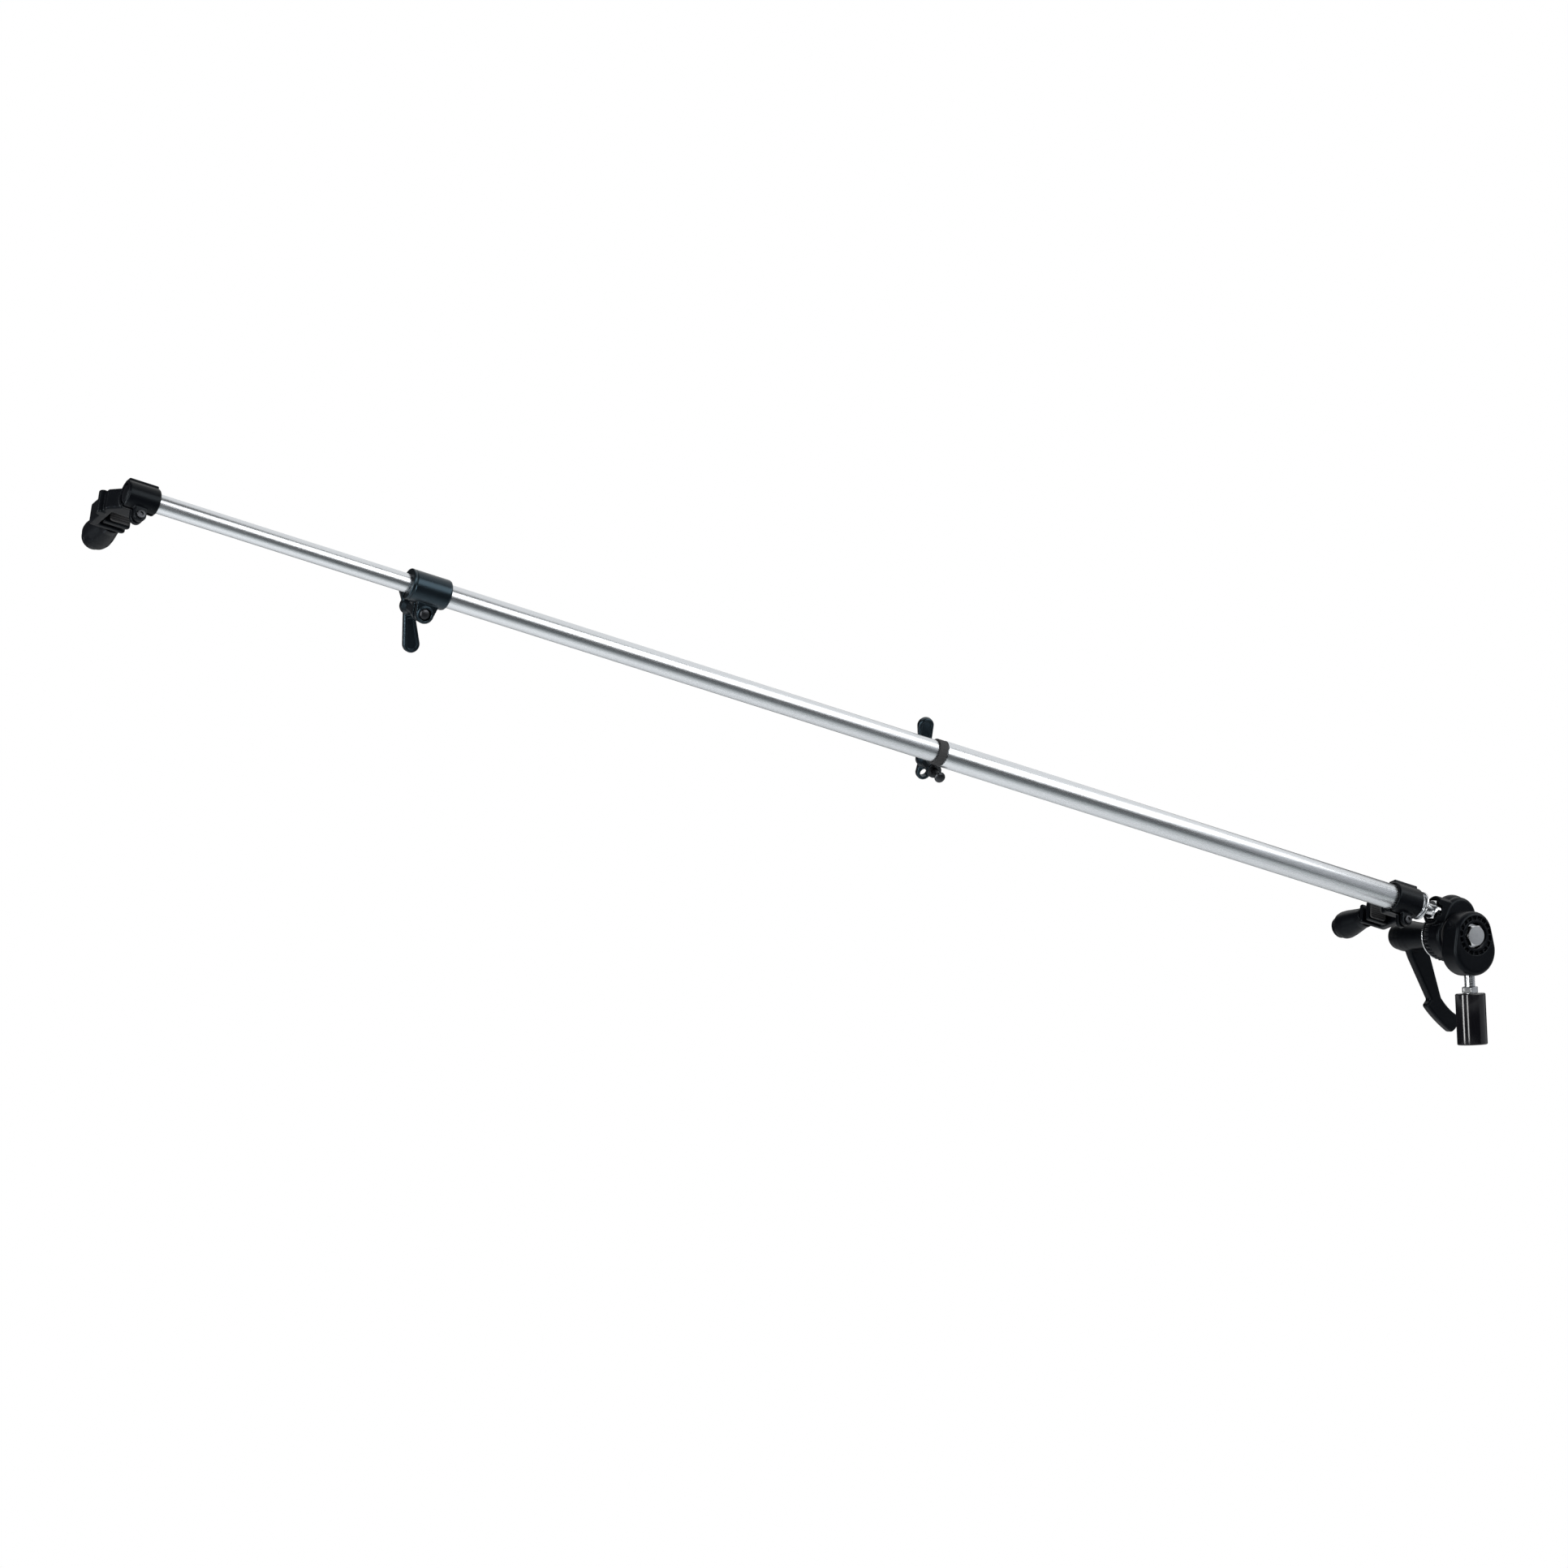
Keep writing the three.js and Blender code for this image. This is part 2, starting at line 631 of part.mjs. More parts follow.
// Far half of the head: a toothed disc under a dome that takes the arm's stud
function makeKnuckle(parent) {
  const outline = capsuleOutline(knuckleTopRadius, armOffset, knuckleDiscRadius - rimToothDepth, 0);
  const body = solidFrom(plateAcrossY(outline, -knuckleFar, -knuckleNear, knuckleEdgeRound));
  const bandFar = -knuckleFar + rimBandInset;
  const band = solidFrom(plateAcrossY(
    toothedOutline(knuckleDiscRadius, rimToothDepth, rimTeeth), bandFar, bandFar + rimBandWidth, 0,
  ));
  const ball = new THREE.SphereGeometry(1, mediumFacets, smallFacets);
  ball.scale(knuckleDomeRadius, knuckleDomeHalfDepth, knuckleDomeRadius);
  ball.translate(knuckleDomeStation, -(knuckleNear + knuckleFar) / 2, armOffset);
  // The neck is as wide as the knuckle is deep, and clear of the lower half
  const neckBar = cylinder('x', knuckleNeckRadius, 0, knuckleNeckEnd, largeFacets);
  const neck = solidFrom(neckBar.translate(0, -armPlane, armOffset)).intersect(solidFrom(box(
    2 * knuckleNeckEnd, knuckleDepth, 2 * knuckleNeckRadius + armOffset,
    [0, -(knuckleNear + knuckleFar) / 2, armOffset],
  )));
  const studHole = cylinder(
    'x', armStudRadius + fitGap, knuckleNeckEnd - armStudEngagement - fitGap, knuckleNeckEnd + cutOverrun,
  ).translate(0, -armPlane, armOffset);
  const boltHole = cylinder('y', boltRadius + fitGap, -knuckleFar - cutOverrun, -knuckleNear + cutOverrun);
  const knuckle = cut(
    joined(body, band, solidFrom(ball), neck), solidFrom(studHole), solidFrom(boltHole),
  );
  addPiece(parent, 'tilt_knuckle', knuckle, finishes.blackMoulding);
}

// Stud, nut, flange and tube plug that hold the outer tube to the head
function makeArmRoot(parent) {
  const studStart = knuckleNeckEnd - armStudEngagement;
  const plugStart = outerTubeStart + fitGap;
  const plugEnd = plugStart + plugLength;
  const studEnd = plugEnd - fitGap;
  addPiece(parent, 'arm_stud', solidFrom(
    chamferedBar('x', armStudRadius, studStart, studEnd, headStudChamfer),
  ), finishes.chrome);

  const hole = () => solidFrom(cylinder('x', armStudRadius + fitGap, 0, studEnd + cutOverrun));
  const nutStart = knuckleNeckEnd + fitGap;
  const nut = cut(hexBar('x', armNutFlats, nutStart, nutStart + armNutHeight), hole());
  addPiece(parent, 'arm_stud_nut', nut, finishes.chrome);

  const flangeEnd = flangeStation + flangeThickness;
  const flange = chamferedBar('x', flangeRadius, flangeStation, flangeEnd, flangeChamfer, largeFacets);
  addPiece(parent, 'stud_flange', cut(solidFrom(flange), hole()), finishes.chrome);

  const plug = chamferedBar(
    'x', outerTubeRadius - tubeWall - fitGap, plugStart, plugEnd, headStudChamfer,
  );
  addPiece(parent, 'outer_tube_plug', cut(solidFrom(plug), hole()), finishes.satinAluminium);
}

function makeTube(parent, name, radius, from, to) {
  const tube = solidFrom(ring('x', radius, radius - tubeWall, from, to, largeFacets));
  addPiece(parent, name, tube, finishes.satinAluminium);
}

// Glide in a tube's inner end: a pierced plug with a collar as wide as the tube
function makeGlide(parent, name, tubeRadius, tubeStart) {
  const fits = tubeRadius - tubeWall - fitGap;
  const bore = fits - glideWall;
  const shoulder = tubeStart - fitGap;
  const glide = turned('x', [
    [bore, shoulder - innerEndGlide],
    [tubeRadius, shoulder - innerEndGlide],
    [tubeRadius, shoulder],
    [fits, shoulder],
    [fits, tubeStart + glideInsert],
    [bore, tubeStart + glideInsert],
    [bore, shoulder - innerEndGlide],
  ], mediumFacets);
  addPiece(parent, name, solidFrom(glide), finishes.blackMoulding);
}

// Push-in cap that closes the thin tube's free end
function makeEndCap(parent) {
  const fits = innerTubeRadius - tubeWall - fitGap;
  const face = innerTubeEnd + fitGap;
  const cap = turned('x', [
    [0, innerTubeEnd - capInsert],
    [fits, innerTubeEnd - capInsert],
    [fits, face],
    ...dome(innerTubeRadius, face, face + capThickness),
  ]);
  addPiece(parent, 'inner_tube_cap', solidFrom(cap), finishes.blackMoulding);
}

// One clamp collar in its own frame: x = 0 at the face that sits on the wider tube
function makeCollar(parent, knobParent, prefix, length, wideRadius, narrowRadius, wingAngle) {
  const wideBore = wideRadius + fitGap;
  const bushInner = narrowRadius + fitGap;
  const bushOuter = bushInner + collarBushWall;
  const bushBore = bushOuter + fitGap;
  const outer = wideBore + collarWall;
  const shell = solidFrom(turned('x', [
    [outer - collarRim, 0],
    [outer, collarRim],
    [outer, length],
    [0, length],
    [0, 0],
    [outer - collarRim, 0],
  ], largeFacets));
  const ears = new THREE.Shape();
  ears.moveTo(earStation - earRootHalf, 0);
  ears.lineTo(earStation - earRadius, -earDrop);
  ears.absarc(earStation, -earDrop, earRadius, Math.PI, 2 * Math.PI, false);
  ears.lineTo(earStation + earRootHalf, 0);
  const lug = solidFrom(plateAcrossY(ears, -earHalfThickness, earHalfThickness, 0));
  const bore = solidFrom(turned('x', [
    [0, -cutOverrun],
    [wideBore, -cutOverrun],
    [wideBore, collarSeat],
    [bushBore, collarSeat],
    [bushBore, length - collarLip],
    [bushInner, length - collarLip],
    [bushInner, length + cutOverrun],
    [0, length + cutOverrun],
  ], largeFacets));
  const slitDepth = earDrop + earRadius + cutOverrun;
  const slitLength = length + cutOverrun - collarSlitStart;
  const slit = solidFrom(box(
    slitLength, collarSlit, slitDepth, [collarSlitStart + slitLength / 2, 0, -slitDepth / 2],
  ));
  const placeOnBolt = (geometry) => geometry.translate(earStation, 0, -earDrop);
  const earOver = earHalfThickness + cutOverrun;
  const boltHole = solidFrom(placeOnBolt(cylinder(
    'y', collarBoltRadius + fitGap, -earOver, earOver, smallFacets,
  )));
  const headWell = solidFrom(placeOnBolt(cylinder(
    'y', collarBoltHeadRadius + fitGap, earHalfThickness - earHeadWell, earOver,
  )));
  const collar = cut(joined(shell, lug), bore, slit, boltHole, headWell);
  addPiece(parent, `${prefix}_collar`, collar, finishes.blackMoulding);

  const bushEnd = length - collarLip - fitGap;
  const bush = cut(
    solidFrom(ring('x', bushOuter, bushInner, collarSeat + fitGap, bushEnd, largeFacets)), slit,
  );
  addPiece(parent, `${prefix}_collar_bush`, bush, finishes.blackRubber);

  const headBack = earHalfThickness - earHeadWell + fitGap;
  const hubFoot = -earHalfThickness - 2 * fitGap - collarWasherThickness;
  const boltEnd = hubFoot - knobInsertDepth;
  const shank = solidFrom(placeOnBolt(cylinder(
    'y', collarBoltRadius, boltEnd, headBack + weldReach, smallFacets,
  )));
  const head = solidFrom(placeOnBolt(turned('y', [
    [0, headBack],
    [collarBoltHeadRadius, headBack],
    ...dome(collarBoltHeadRadius, headBack + collarBoltHeadRim, headBack + collarBoltHeadHeight),
  ])));
  addPiece(parent, `${prefix}_collar_bolt`, shank.add(head), finishes.zincSteel);

  const washerNear = -earHalfThickness - fitGap;
  addPiece(parent, `${prefix}_collar_washer`, solidFrom(placeOnBolt(ring(
    'y', collarWasherRadius, collarBoltRadius + fitGap, washerNear - collarWasherThickness, washerNear,
  ))), finishes.zincSteel);

  const knob = solidFrom(makeWingKnob(hubFoot - fitGap, wingAngle));
  addPiece(knobParent, `${prefix}_wing_knob`, knob, finishes.blackMoulding)
    .position.set(earStation, 0, -earDrop);
}

// Wing knob round the bolt: a waisted hub, a dished paddle and a pierced loop, reaching back along -Y
function makeWingKnob(foot, wingAngle) {
  const back = foot - knobHubLength;
  const hub = solidFrom(bar('y', [
    [knobHubHeadRadius - wingEdgeRound, back],
    [knobHubHeadRadius, back + wingEdgeRound],
    [knobHubHeadRadius, back + wingThickness],
    [knobHubWaistRadius, back + 2 * wingThickness],
    [knobHubWaistRadius, foot - wingThickness],
    [knobHubFootRadius, foot - wingEdgeRound],
    [knobHubFootRadius, foot],
  ]));
  const paddle = new THREE.Shape();
  const paddleTip = wingReach - wingTipRadius;
  paddle.moveTo(wingRootHalf, 0);
  paddle.lineTo(wingTipRadius, -paddleTip);
  paddle.absarc(0, -paddleTip, wingTipRadius, 0, -Math.PI, true);
  paddle.lineTo(-wingRootHalf, 0);
  const dish = new THREE.Shape();
  const dishTip = wingTipRadius - wingDishMargin;
  dish.moveTo(wingRootHalf - wingDishMargin / 2, -knobHubHeadRadius - wingDishMargin);
  dish.lineTo(dishTip, -paddleTip);
  dish.absarc(0, -paddleTip, dishTip, 0, -Math.PI, true);
  dish.lineTo(-wingRootHalf + wingDishMargin / 2, -knobHubHeadRadius - wingDishMargin);
  const loop = new THREE.Shape();
  const loopTip = loopReach - loopTipRadius;
  loop.moveTo(-wingRootHalf, 0);
  loop.lineTo(-loopTipRadius, loopTip);
  loop.absarc(0, loopTip, loopTipRadius, Math.PI, 0, true);
  loop.lineTo(wingRootHalf, 0);
  const front = back + wingThickness;
  const wings = joined(
    solidFrom(plateAcrossY(paddle, back, front, wingEdgeRound)),
    solidFrom(plateAcrossY(loop, back, front, wingEdgeRound)),
    hub,
  );
  const loopHole = cylinder('y', loopHoleRadius, back - cutOverrun, front + cutOverrun, smallFacets);
  const boltHole = cylinder(
    'y', collarBoltRadius + fitGap, foot - knobInsertDepth, foot + cutOverrun, smallFacets,
  );
  const knob = cut(
    wings,
    solidFrom(loopHole.translate(0, 0, loopTip)),
    solidFrom(boltHole),
    solidFrom(plateAcrossY(dish, front - wingDishDepth, front + cutOverrun, 0)),
    solidFrom(plateAcrossY(dish, back - cutOverrun, back + wingDishDepth, 0)),
  );
  return geometryOf(knob).rotateY(THREE.MathUtils.degToRad(wingAngle));
}

// Plan of the gripper's C frame: first coordinate along the arm, second away from the tube
function frameOutline() {
  const outer = beamInner + beamThickness;
  const plateFar = endPlateNear + endPlateThickness;
  const outline = new THREE.Shape();
  outline.moveTo(-jawHalfWidth, frameRootDepth);
  outline.lineTo(jawHalfWidth, frameRootDepth);
  outline.lineTo(outer, fixedJawFace - beamThickness / 2);
  outline.lineTo(outer, plateFar - frameCorner);
  outline.quadraticCurveTo(outer, plateFar, outer - frameCorner, plateFar);
  outline.lineTo(-jawHalfWidth + frameCorner, plateFar);
  outline.quadraticCurveTo(-jawHalfWidth, plateFar, -jawHalfWidth, plateFar - frameCorner);
  outline.lineTo(-jawHalfWidth, endPlateNear);
  outline.lineTo(beamInner, endPlateNear);
  outline.lineTo(beamInner, fixedJawFace);
  outline.lineTo(-jawHalfWidth, fixedJawFace);
  return outline;
}

// One rim gripper in its own frame: x along the arm and the clamp axis along -Y.
// Its closed side faces out along the arm if side is 1 and back if it is -1.
function makeGripper(frames, prefix, tubeRadius, length, side) {
  const sleeveBore = tubeRadius + fitGap;
  const sleeveRadius = sleeveBore + sleeveWall;
  const half = length / 2;
  const facing = (geometry) => geometry.scale(side, 1, 1);
  // Turns a plan outline into a plate that lies across Z, with its second coordinate along -Y
  const planPlate = (outline, halfHeight, round) => facing(
    plate(outline, -halfHeight, halfHeight, round).rotateX(Math.PI),
  );

  const sleeve = solidFrom(bar('x', [
    [sleeveRadius - sleeveRim, -half],
    [sleeveRadius, sleeveRim - half],
    [sleeveRadius, half - sleeveRim],
    [sleeveRadius - sleeveRim, half],
  ], largeFacets));
  const ledge = solidFrom(box(length - 2 * sleeveRim, 2 * ledgeHalf, sleeveRadius + ledgeHeight, [
    0, 0, (sleeveRadius + ledgeHeight) / 2,
  ]));
  const frame = solidFrom(planPlate(frameOutline(), jawHalfHeight, frameBevel));
  const plateFar = endPlateNear + endPlateThickness;
  const endBoss = solidFrom(cylinder('y', endBossRadius, -plateFar - endBossHeight, -plateFar + weldReach));
  const outer = beamInner + beamThickness;
  const bossHalf = jawHalfHeight + hingeBossProud;
  const hingeBoss = solidFrom(facing(
    chamferedBar('z', hingeBossRadius, -bossHalf, bossHalf, sleeveRim, smallFacets)
      .translate(outer, -hingeBossDepth, 0),
  ));
  const lugDrop = sleeveRadius + gripLugDrop;
  const lugOutline = new THREE.Shape();
  lugOutline.moveTo(-gripLugHalf, 0);
  lugOutline.lineTo(-gripLugHalf, -lugDrop + gripLugHalf);
  lugOutline.absarc(0, -lugDrop + gripLugHalf, gripLugHalf, Math.PI, 2 * Math.PI, false);
  lugOutline.lineTo(gripLugHalf, 0);
  const lug = solidFrom(plateAcrossY(lugOutline, -gripLugThickness, gripLugThickness, 0));
  const tubeBore = solidFrom(cylinder('x', sleeveBore, -half - cutOverrun, half + cutOverrun, largeFacets));
  const slit = solidFrom(box(length + 2 * cutOverrun, gripSlit, lugDrop + cutOverrun, [
    0, 0, -(lugDrop + cutOverrun) / 2,
  ]));
  const screwDrop = -lugDrop + gripLugHalf;
  const lugOver = gripLugThickness + cutOverrun;
  const screwHole = solidFrom(
    cylinder('y', lugScrewRadius + fitGap, -lugOver, lugOver, smallFacets).translate(0, 0, screwDrop),
  );
  const bossFar = plateFar + endBossHeight;
  const rodHole = solidFrom(cylinder(
    'y', rodRadius + fitGap, -bossFar - cutOverrun, -endPlateNear + cutOverrun, smallFacets,
  ));
  const whole = joined(sleeve, ledge, frame, endBoss, hingeBoss, lug);
  const body = cut(whole, tubeBore, slit, screwHole, rodHole);
  addPiece(frames.body, `${prefix}_grip_body`, body, finishes.blackMoulding);

  const headSeat = gripLugThickness + fitGap;
  const lugScrew = solidFrom(cylinder(
    'y', lugScrewRadius, -gripLugThickness, headSeat + weldReach, smallFacets,
  ));
  const lugHead = solidFrom(chamferedBar(
    'y', lugScrewHeadRadius, headSeat, headSeat + lugScrewHeadHeight, lugScrewChamfer, smallFacets,
  ));
  addPiece(frames.body, `${prefix}_grip_screw`, lugScrew.add(lugHead), finishes.zincSteel)
    .position.set(0, 0, screwDrop);

  const padOutline = rectangleOutline(jawHalfWidth - padMargin, jawHalfHeight - padMargin, padRound);
  const padAt = (near) => solidFrom(plateAcrossY(padOutline, -near - padThickness, -near, 0, cornerFacets));
  const fixedPadNear = fixedJawFace + fitGap;
  const fixedFace = fixedPadNear + padThickness;
  const movingFace = fixedFace + slotGap;
  addPiece(frames.body, `${prefix}_fixed_pad`, padAt(fixedPadNear), finishes.blackRubber);
  addPiece(frames.jaw, `${prefix}_jaw_pad`, padAt(movingFace), finishes.blackRubber);

  const jawNear = movingFace + padThickness + fitGap;
  const jawFar = jawNear + jawThickness;
  const jawOutline = new THREE.Shape();
  jawOutline.moveTo(-jawHalfWidth, jawNear);
  jawOutline.lineTo(beamInner - 2 * fitGap, jawNear);
  jawOutline.lineTo(beamInner - 2 * fitGap, jawFar);
  jawOutline.lineTo(-jawHalfWidth + frameCorner, jawFar);
  jawOutline.quadraticCurveTo(-jawHalfWidth, jawFar, -jawHalfWidth, jawFar - frameCorner);
  const rodStart = jawFar - rodSink;
  const jaw = cut(
    solidFrom(planPlate(jawOutline, jawHalfHeight, frameBevel)),
    solidFrom(cylinder('y', rodRadius + fitGap, -jawFar - cutOverrun, -rodStart + fitGap, smallFacets)),
  );
  addPiece(frames.jaw, `${prefix}_jaw`, jaw, finishes.blackMoulding);

  const rod = chamferedBar('y', rodRadius, -rodEnd, -rodStart, headStudChamfer, smallFacets);
  addPiece(frames.jaw, `${prefix}_jaw_rod`, solidFrom(rod), finishes.zincSteel);

  addPiece(frames.knob, `${prefix}_grip_knob`, makeGripKnob(plateFar + fitGap), finishes.blackMoulding);
}

// Tapered clamp knob with a ring at its end, its foot over the frame's end boss
function makeGripKnob(foot) {
  const length = knobEnd - foot;
  const knobShape = solidFrom(bar('y', [
    [knobEndFlat, -knobEnd],
    [knobEndRadius, -knobEnd + knobEndRound],
    [knobEndRadius, -knobEnd + knobRingWidth],
    [knobEndRadius + knobRingStep, -knobEnd + knobRingWidth + knobRingStep],
    [knobBellyRadius, -foot - length * knobBellyShare],
    [knobFootRadius, -foot - length * knobWaistShare],
    [knobFootRadius, -foot],
  ], largeFacets));
  const bossWell = solidFrom(cylinder(
    'y', endBossRadius + fitGap, -foot - endBossHeight - fitGap, -foot + cutOverrun,
  ));
  const rodBore = solidFrom(cylinder(
    'y', rodRadius + fitGap, -knobBoreEnd, -foot + cutOverrun, smallFacets,
  ));
  return cut(knobShape, bossWell, rodBore);
}

function childGroup(parent, x = 0, y = 0, z = 0) {
  const group = new THREE.Group();
  group.position.set(x, y, z);
  parent.add(group);
  return group;
}

// The whole holder
const holder = new THREE.Group();
makeSocket(holder);

const head = childGroup(holder, 0, 0, pivotHeight);
makeTiltBase(head);
makeLever(head);

// The arm's frame: x outwards along the arm, y towards the viewer, z square to the arm and up
const tilt = childGroup(head);
tilt.rotation.y = THREE.MathUtils.degToRad(armTilt);
const arm = childGroup(tilt);
arm.rotation.z = Math.PI;
makeKnuckle(arm);

const axis = childGroup(arm, 0, -armPlane, armOffset);
makeArmRoot(axis);
makeTube(axis, 'outer_tube', outerTubeRadius, outerTubeStart, outerTubeEnd);
makeTube(axis, 'middle_tube', middleTubeRadius, middleTubeEnd - middleTubeLength, middleTubeEnd);
makeTube(axis, 'inner_tube', innerTubeRadius, innerTubeEnd - innerTubeLength, innerTubeEnd);
makeGlide(axis, 'middle_tube_glide', middleTubeRadius, middleTubeEnd - middleTubeLength);
makeGlide(axis, 'inner_tube_glide', innerTubeRadius, innerTubeEnd - innerTubeLength);
makeEndCap(axis);

const rootCollar = childGroup(axis, rootCollarStart);
rootCollar.rotation.x = THREE.MathUtils.degToRad(rootCollarTurn);
makeCollar(
  rootCollar, childGroup(rootCollar), 'root',
  rootCollarLength, outerTubeRadius, middleTubeRadius, rootWingAngle,
);

const tipCollar = childGroup(axis, tipCollarStart);
tipCollar.rotation.x = THREE.MathUtils.degToRad(tipCollarTurn);
makeCollar(
  tipCollar, childGroup(tipCollar), 'tip',
  tipCollarLength, middleTubeRadius, innerTubeRadius, tipWingAngle,
);

function placeGripper(prefix, start, length, tubeRadius, side) {
  const body = childGroup(axis, start + length / 2);
  body.rotation.x = THREE.MathUtils.degToRad(gripLean);
  const frames = { body, jaw: childGroup(body), knob: childGroup(body) };
  makeGripper(frames, prefix, tubeRadius, length, side);
}

placeGripper('head', headGripperStart, headGripperLength, outerTubeRadius, -1);
placeGripper('tip', tipGripperStart, tipGripperLength, innerTubeRadius, 1);

export default holder;
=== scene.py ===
"""Looks of a telescopic holder arm: socket, tilting head, tubes, clamp collars and rim grippers."""
import json
import logging
import math
from collections.abc import Callable
from dataclasses import dataclass, field
from enum import Enum
from typing import Any

import bmesh
import bpy
from mathutils import Matrix, Vector


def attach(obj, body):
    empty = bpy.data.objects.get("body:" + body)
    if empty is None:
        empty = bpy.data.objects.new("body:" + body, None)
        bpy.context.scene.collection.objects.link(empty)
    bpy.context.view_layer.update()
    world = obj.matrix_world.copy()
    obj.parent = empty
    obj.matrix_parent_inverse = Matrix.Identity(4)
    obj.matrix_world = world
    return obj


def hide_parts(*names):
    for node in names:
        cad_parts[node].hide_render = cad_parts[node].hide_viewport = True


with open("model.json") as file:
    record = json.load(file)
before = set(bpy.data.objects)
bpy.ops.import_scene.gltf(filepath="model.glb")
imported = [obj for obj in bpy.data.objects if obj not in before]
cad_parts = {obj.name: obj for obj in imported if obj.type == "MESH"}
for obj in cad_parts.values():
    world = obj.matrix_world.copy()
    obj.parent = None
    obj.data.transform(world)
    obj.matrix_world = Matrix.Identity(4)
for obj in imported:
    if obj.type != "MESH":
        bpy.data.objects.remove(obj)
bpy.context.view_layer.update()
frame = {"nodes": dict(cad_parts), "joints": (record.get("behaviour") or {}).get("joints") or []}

log = logging.getLogger("holder")

Pair = tuple[float, float]
Triple = tuple[float, float, float]
Profile = list[Pair]
Mesh = bmesh.types.BMesh
Socket = bpy.types.NodeSocket

# One millimetre in metres. Every length below is in millimetres, apart from the studio's.
MM = 0.001
# How far a cutter runs past the face that it cuts.
PAST = 2.0
# Points nearer than this are one point.
MERGE = 0.001


class Axis(Enum):
    """Which axis of its own frame a turned or extruded piece lies along, as the turn that brings Z there."""

    X = Matrix.Rotation(math.pi / 2, 4, "Y")
    Y = Matrix.Rotation(-math.pi / 2, 4, "X")
    Z = Matrix.Identity(4)


class Slot(Enum):
    """The record's material slots."""

    MOULDING = "black_moulding"
    GLOSS = "black_gloss"
    RUBBER = "black_rubber"
    CHROME = "chrome"
    ZINC = "zinc_steel"
    ALUMINIUM = "satin_aluminium"


# Shader maths


class Field:
    """A shader value that Python expressions can work on."""

    def __init__(self, graph: "Graph", socket: Socket) -> None:
        """Wraps one output socket of a graph."""
        self.graph = graph
        self.socket = socket

    def _maths(self, operation: str, first: "Operand", second: "Operand") -> "Field":
        """One Math node on two values or fields."""
        made = self.graph.node("ShaderNodeMath", {"operation": operation}, {0: first, 1: second})
        return Field(self.graph, made.outputs[0])

    def __add__(self, other: "Operand") -> "Field":
        """The sum."""
        return self._maths("ADD", self, other)

    def __sub__(self, other: "Operand") -> "Field":
        """The difference."""
        return self._maths("SUBTRACT", self, other)

    def __rsub__(self, other: "Operand") -> "Field":
        """The difference from a plain number."""
        return self._maths("SUBTRACT", other, self)

    def __mul__(self, other: "Operand") -> "Field":
        """The product."""
        return self._maths("MULTIPLY", self, other)

    __radd__ = __add__
    __rmul__ = __mul__

    def above(self, threshold: float, width: float) -> "Field":
        """Rises from 0 to 1 over a width that starts at a threshold.

        Args:
            threshold: value at which the result leaves 0.
            width: how much further the value goes until the result is 1.

        Returns:
            The clamped share.
        """
        settings = {"operation": "MULTIPLY", "use_clamp": True}
        made = self.graph.node("ShaderNodeMath", settings, {0: self - threshold, 1: 1 / width})
        return Field(self.graph, made.outputs[0])

    def most(self, other: "Field") -> "Field":
        """The larger of two values."""
        return self._maths("MAXIMUM", self, other)


Operand = Field | float


class Graph:
    """Builds the nodes of one material or of the world."""

    def __init__(self, tree: bpy.types.NodeTree) -> None:
        """Starts with an empty tree."""
        self.tree = tree
        tree.nodes.clear()

    def node(self, kind: str, settings: dict[str, object], inputs: dict[str | int, object]) -> bpy.types.Node:
        """Adds a node.

        Args:
            kind: the node's type.
            settings: its properties, set first.
            inputs: values, fields or sockets by input name or number.

        Returns:
            The new node.
        """
        made = self.tree.nodes.new(kind)
        for name, value in settings.items():
            setattr(made, name, value)
        for key, value in inputs.items():
            if isinstance(value, Field):
                self.tree.links.new(value.socket, made.inputs[key])
            elif isinstance(value, Socket):
                self.tree.links.new(value, made.inputs[key])
            else:
                made.inputs[key].default_value = value
        return made

    def place(self, turn: float = 0.0, stretch: Triple = (1.0, 1.0, 1.0)) -> Socket:
        """Object coordinates, turned about Y and stretched."""
        at = self.node("ShaderNodeTexCoord", {}, {})
        turned_at = self.node("ShaderNodeMapping", {}, {
            "Vector": at.outputs["Object"], "Rotation": (0.0, turn, 0.0),
        })
        stretched = self.node("ShaderNodeMapping", {}, {"Vector": turned_at.outputs[0], "Scale": stretch})
        return stretched.outputs[0]

    def noise(self, at: Socket, scale: float, detail: float) -> Field:
        """A noise value from 0 to 1."""
        made = self.node("ShaderNodeTexNoise", {}, {"Vector": at, "Scale": scale, "Detail": detail})
        return Field(self, made.outputs[0])

    def blend(self, share: Field, low: Triple | Socket, high: Triple) -> Socket:
        """A colour between two colours."""
        first = low if isinstance(low, Socket) else (*low, 1.0)
        return self.node("ShaderNodeMix", {"data_type": "RGBA"}, {
            0: share, 6: first, 7: (*high, 1.0),
        }).outputs[2]

    def bump(self, height: Field, strength: float, distance: float) -> Socket:
        """A bumped normal."""
        made = self.node("ShaderNodeBump", {}, {"Height": height, "Strength": strength, "Distance": distance})
        return made.outputs[0]

    def finish(self, shader: bpy.types.Node) -> None:
        """Links a shader to the material's output."""
        self.node("ShaderNodeOutputMaterial", {}, {"Surface": shader.outputs[0]})


# Finishes


@dataclass(frozen=True)
class Finish:
    """What every finish has: its slot and the two colours that it drifts between."""

    slot: Slot
    low: Triple
    high: Triple
    rough_low: float
    rough_span: float

    def material(self) -> bpy.types.Material:
        """Makes the material once and hands the same one out afterwards."""
        known = bpy.data.materials.get(self.label())
        if known is not None and known.get("holder_finish"):
            return known
        made = bpy.data.materials.new(self.label())
        made["holder_finish"] = True
        made.use_nodes = True
        graph = Graph(made.node_tree)
        graph.finish(self.shader(graph))
        return made

    def label(self) -> str:
        """The material's name."""
        return self.slot.value

    def shader(self, graph: Graph) -> bpy.types.Node:
        """The finish's own shader."""
        raise NotImplementedError


